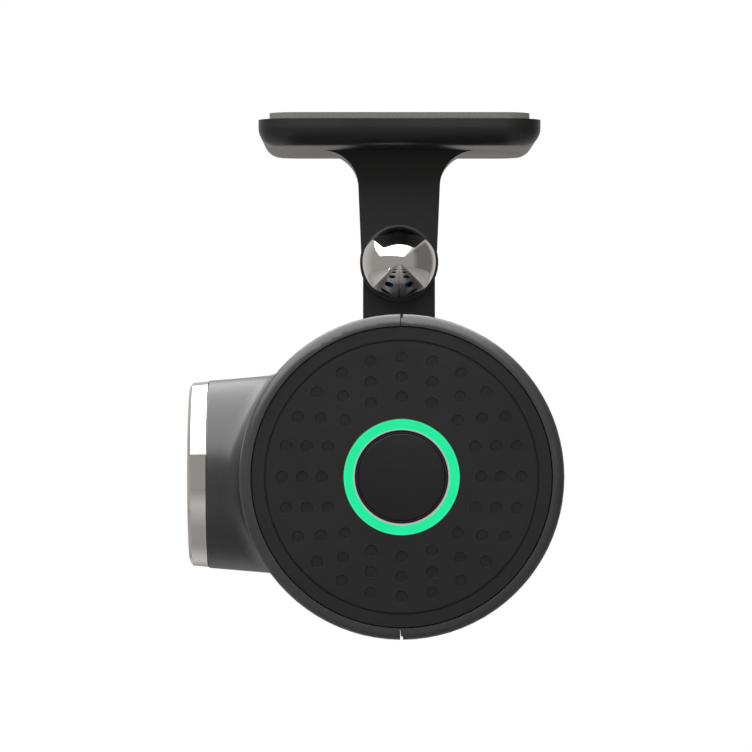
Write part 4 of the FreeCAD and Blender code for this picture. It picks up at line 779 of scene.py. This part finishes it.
reach = 1.5
sheet_of("studio_floor", [
    (reach * math.cos(math.radians(turn)), reach * math.sin(math.radians(turn)), floor_z)
    for turn in range(0, 360, 6)], floor_paint())

softbox_height = 0.082
softbox_corners = [(-0.32, -0.17), (-0.09, -0.30), (0.19, -0.39), (0.195, 0.045), (0.12, 0.09),
                   (0.08, 0.125), (0.04, 0.155), (-0.04, 0.155), (-0.08, 0.125), (-0.12, 0.07),
                   (-0.155, 0.03)]
softbox = sheet_of("softbox", [(x, y, softbox_height) for x, y in softbox_corners],
                   softbox_cloth(3.1))
softbox.visible_camera = False


def grey_cloth():
    """Light at the back of the studio, grey behind the viewer and dark on the right."""
    material, tree, where = blank("Grey studio cloth")
    place = add(tree, "SeparateXYZ", {"Vector": where}).outputs
    back = add(tree, "MapRange", {"Value": place["Y"], "From Min": 0.0, "From Max": 0.66})
    colour = add(tree, "MixRGB", {"Fac": back.outputs[0], "Color1": linear("#999592"),
                                  "Color2": linear("#bfbdbb")})
    right = add(tree, "MapRange", {"Value": place["X"], "From Min": 0.5, "From Max": 0.66})
    dark = add(tree, "MixRGB", {"Fac": right.outputs[0], "Color1": colour.outputs[0],
                                "Color2": linear("#6c6967")})
    show(tree, add(tree, "Emission", {"Color": dark.outputs[0], "Strength": 1.0}))
    return material


cloth_radius = 0.75
cloth_top = 0.5
shape = bmesh.new()
lower, upper = [], []
for turn in range(0, 360, 6):
    place = Vector((math.cos(math.radians(turn)), math.sin(math.radians(turn)), 0)) * cloth_radius
    lower.append(shape.verts.new(place + Vector((0, 0, floor_z))))
    upper.append(shape.verts.new(place + Vector((0, 0, cloth_top))))
for index in range(len(lower)):
    shape.faces.new((lower[index - 1], lower[index], upper[index], upper[index - 1]))
shape.faces.new(upper)
mesh = bpy.data.meshes.new("grey_cloth")
shape.to_mesh(mesh)
shape.free()
mesh.materials.append(grey_cloth())
cloth = bpy.data.objects.new("grey_cloth", mesh)
bpy.context.scene.collection.objects.link(cloth)
cloth.visible_camera = False
cloth.visible_diffuse = False
cloth.visible_shadow = False
cloth.visible_transmission = False

world = bpy.data.worlds.new("Studio")
bpy.context.scene.world = world
world.use_nodes = True
world.node_tree.nodes.clear()
path = add(world.node_tree, "LightPath").outputs
seen = add(world.node_tree, "Math", {0: path["Is Camera Ray"], 1: path["Is Glossy Ray"]},
           operation="MAXIMUM")
clear = add(world.node_tree, "Math", {0: seen.outputs[0], 1: path["Is Transmission Ray"]},
            operation="MAXIMUM")
level = add(world.node_tree, "MapRange", {"Value": clear.outputs[0], "To Min": 0.42, "To Max": 1.0})
white = add(world.node_tree, "Background", {"Color": linear("#ffffff"),
                                            "Strength": level.outputs[0]})
add(world.node_tree, "OutputWorld", {"Surface": white.outputs[0]})
print("studio: floor, softbox, grey cloth, world")

# %% [markdown]
# The view is straight at the button's end, from about 0.6 m, with a long lens. The camera stands
# level with the hinge's foot, so the underside of the mount just shows.

# %% Camera
lens = bpy.data.cameras.new("long_lens")
lens.sensor_width = 36
lens.lens = 229.8
lens.clip_start = 0.01
viewer = bpy.data.objects.new("viewer", lens)
viewer.location = (-0.00283, -0.5934, -0.03164)
viewer.rotation_euler = (math.pi / 2, 0, 0)
bpy.context.scene.collection.objects.link(viewer)
bpy.context.scene.camera = viewer
bpy.context.scene.view_settings.view_transform = "Standard"
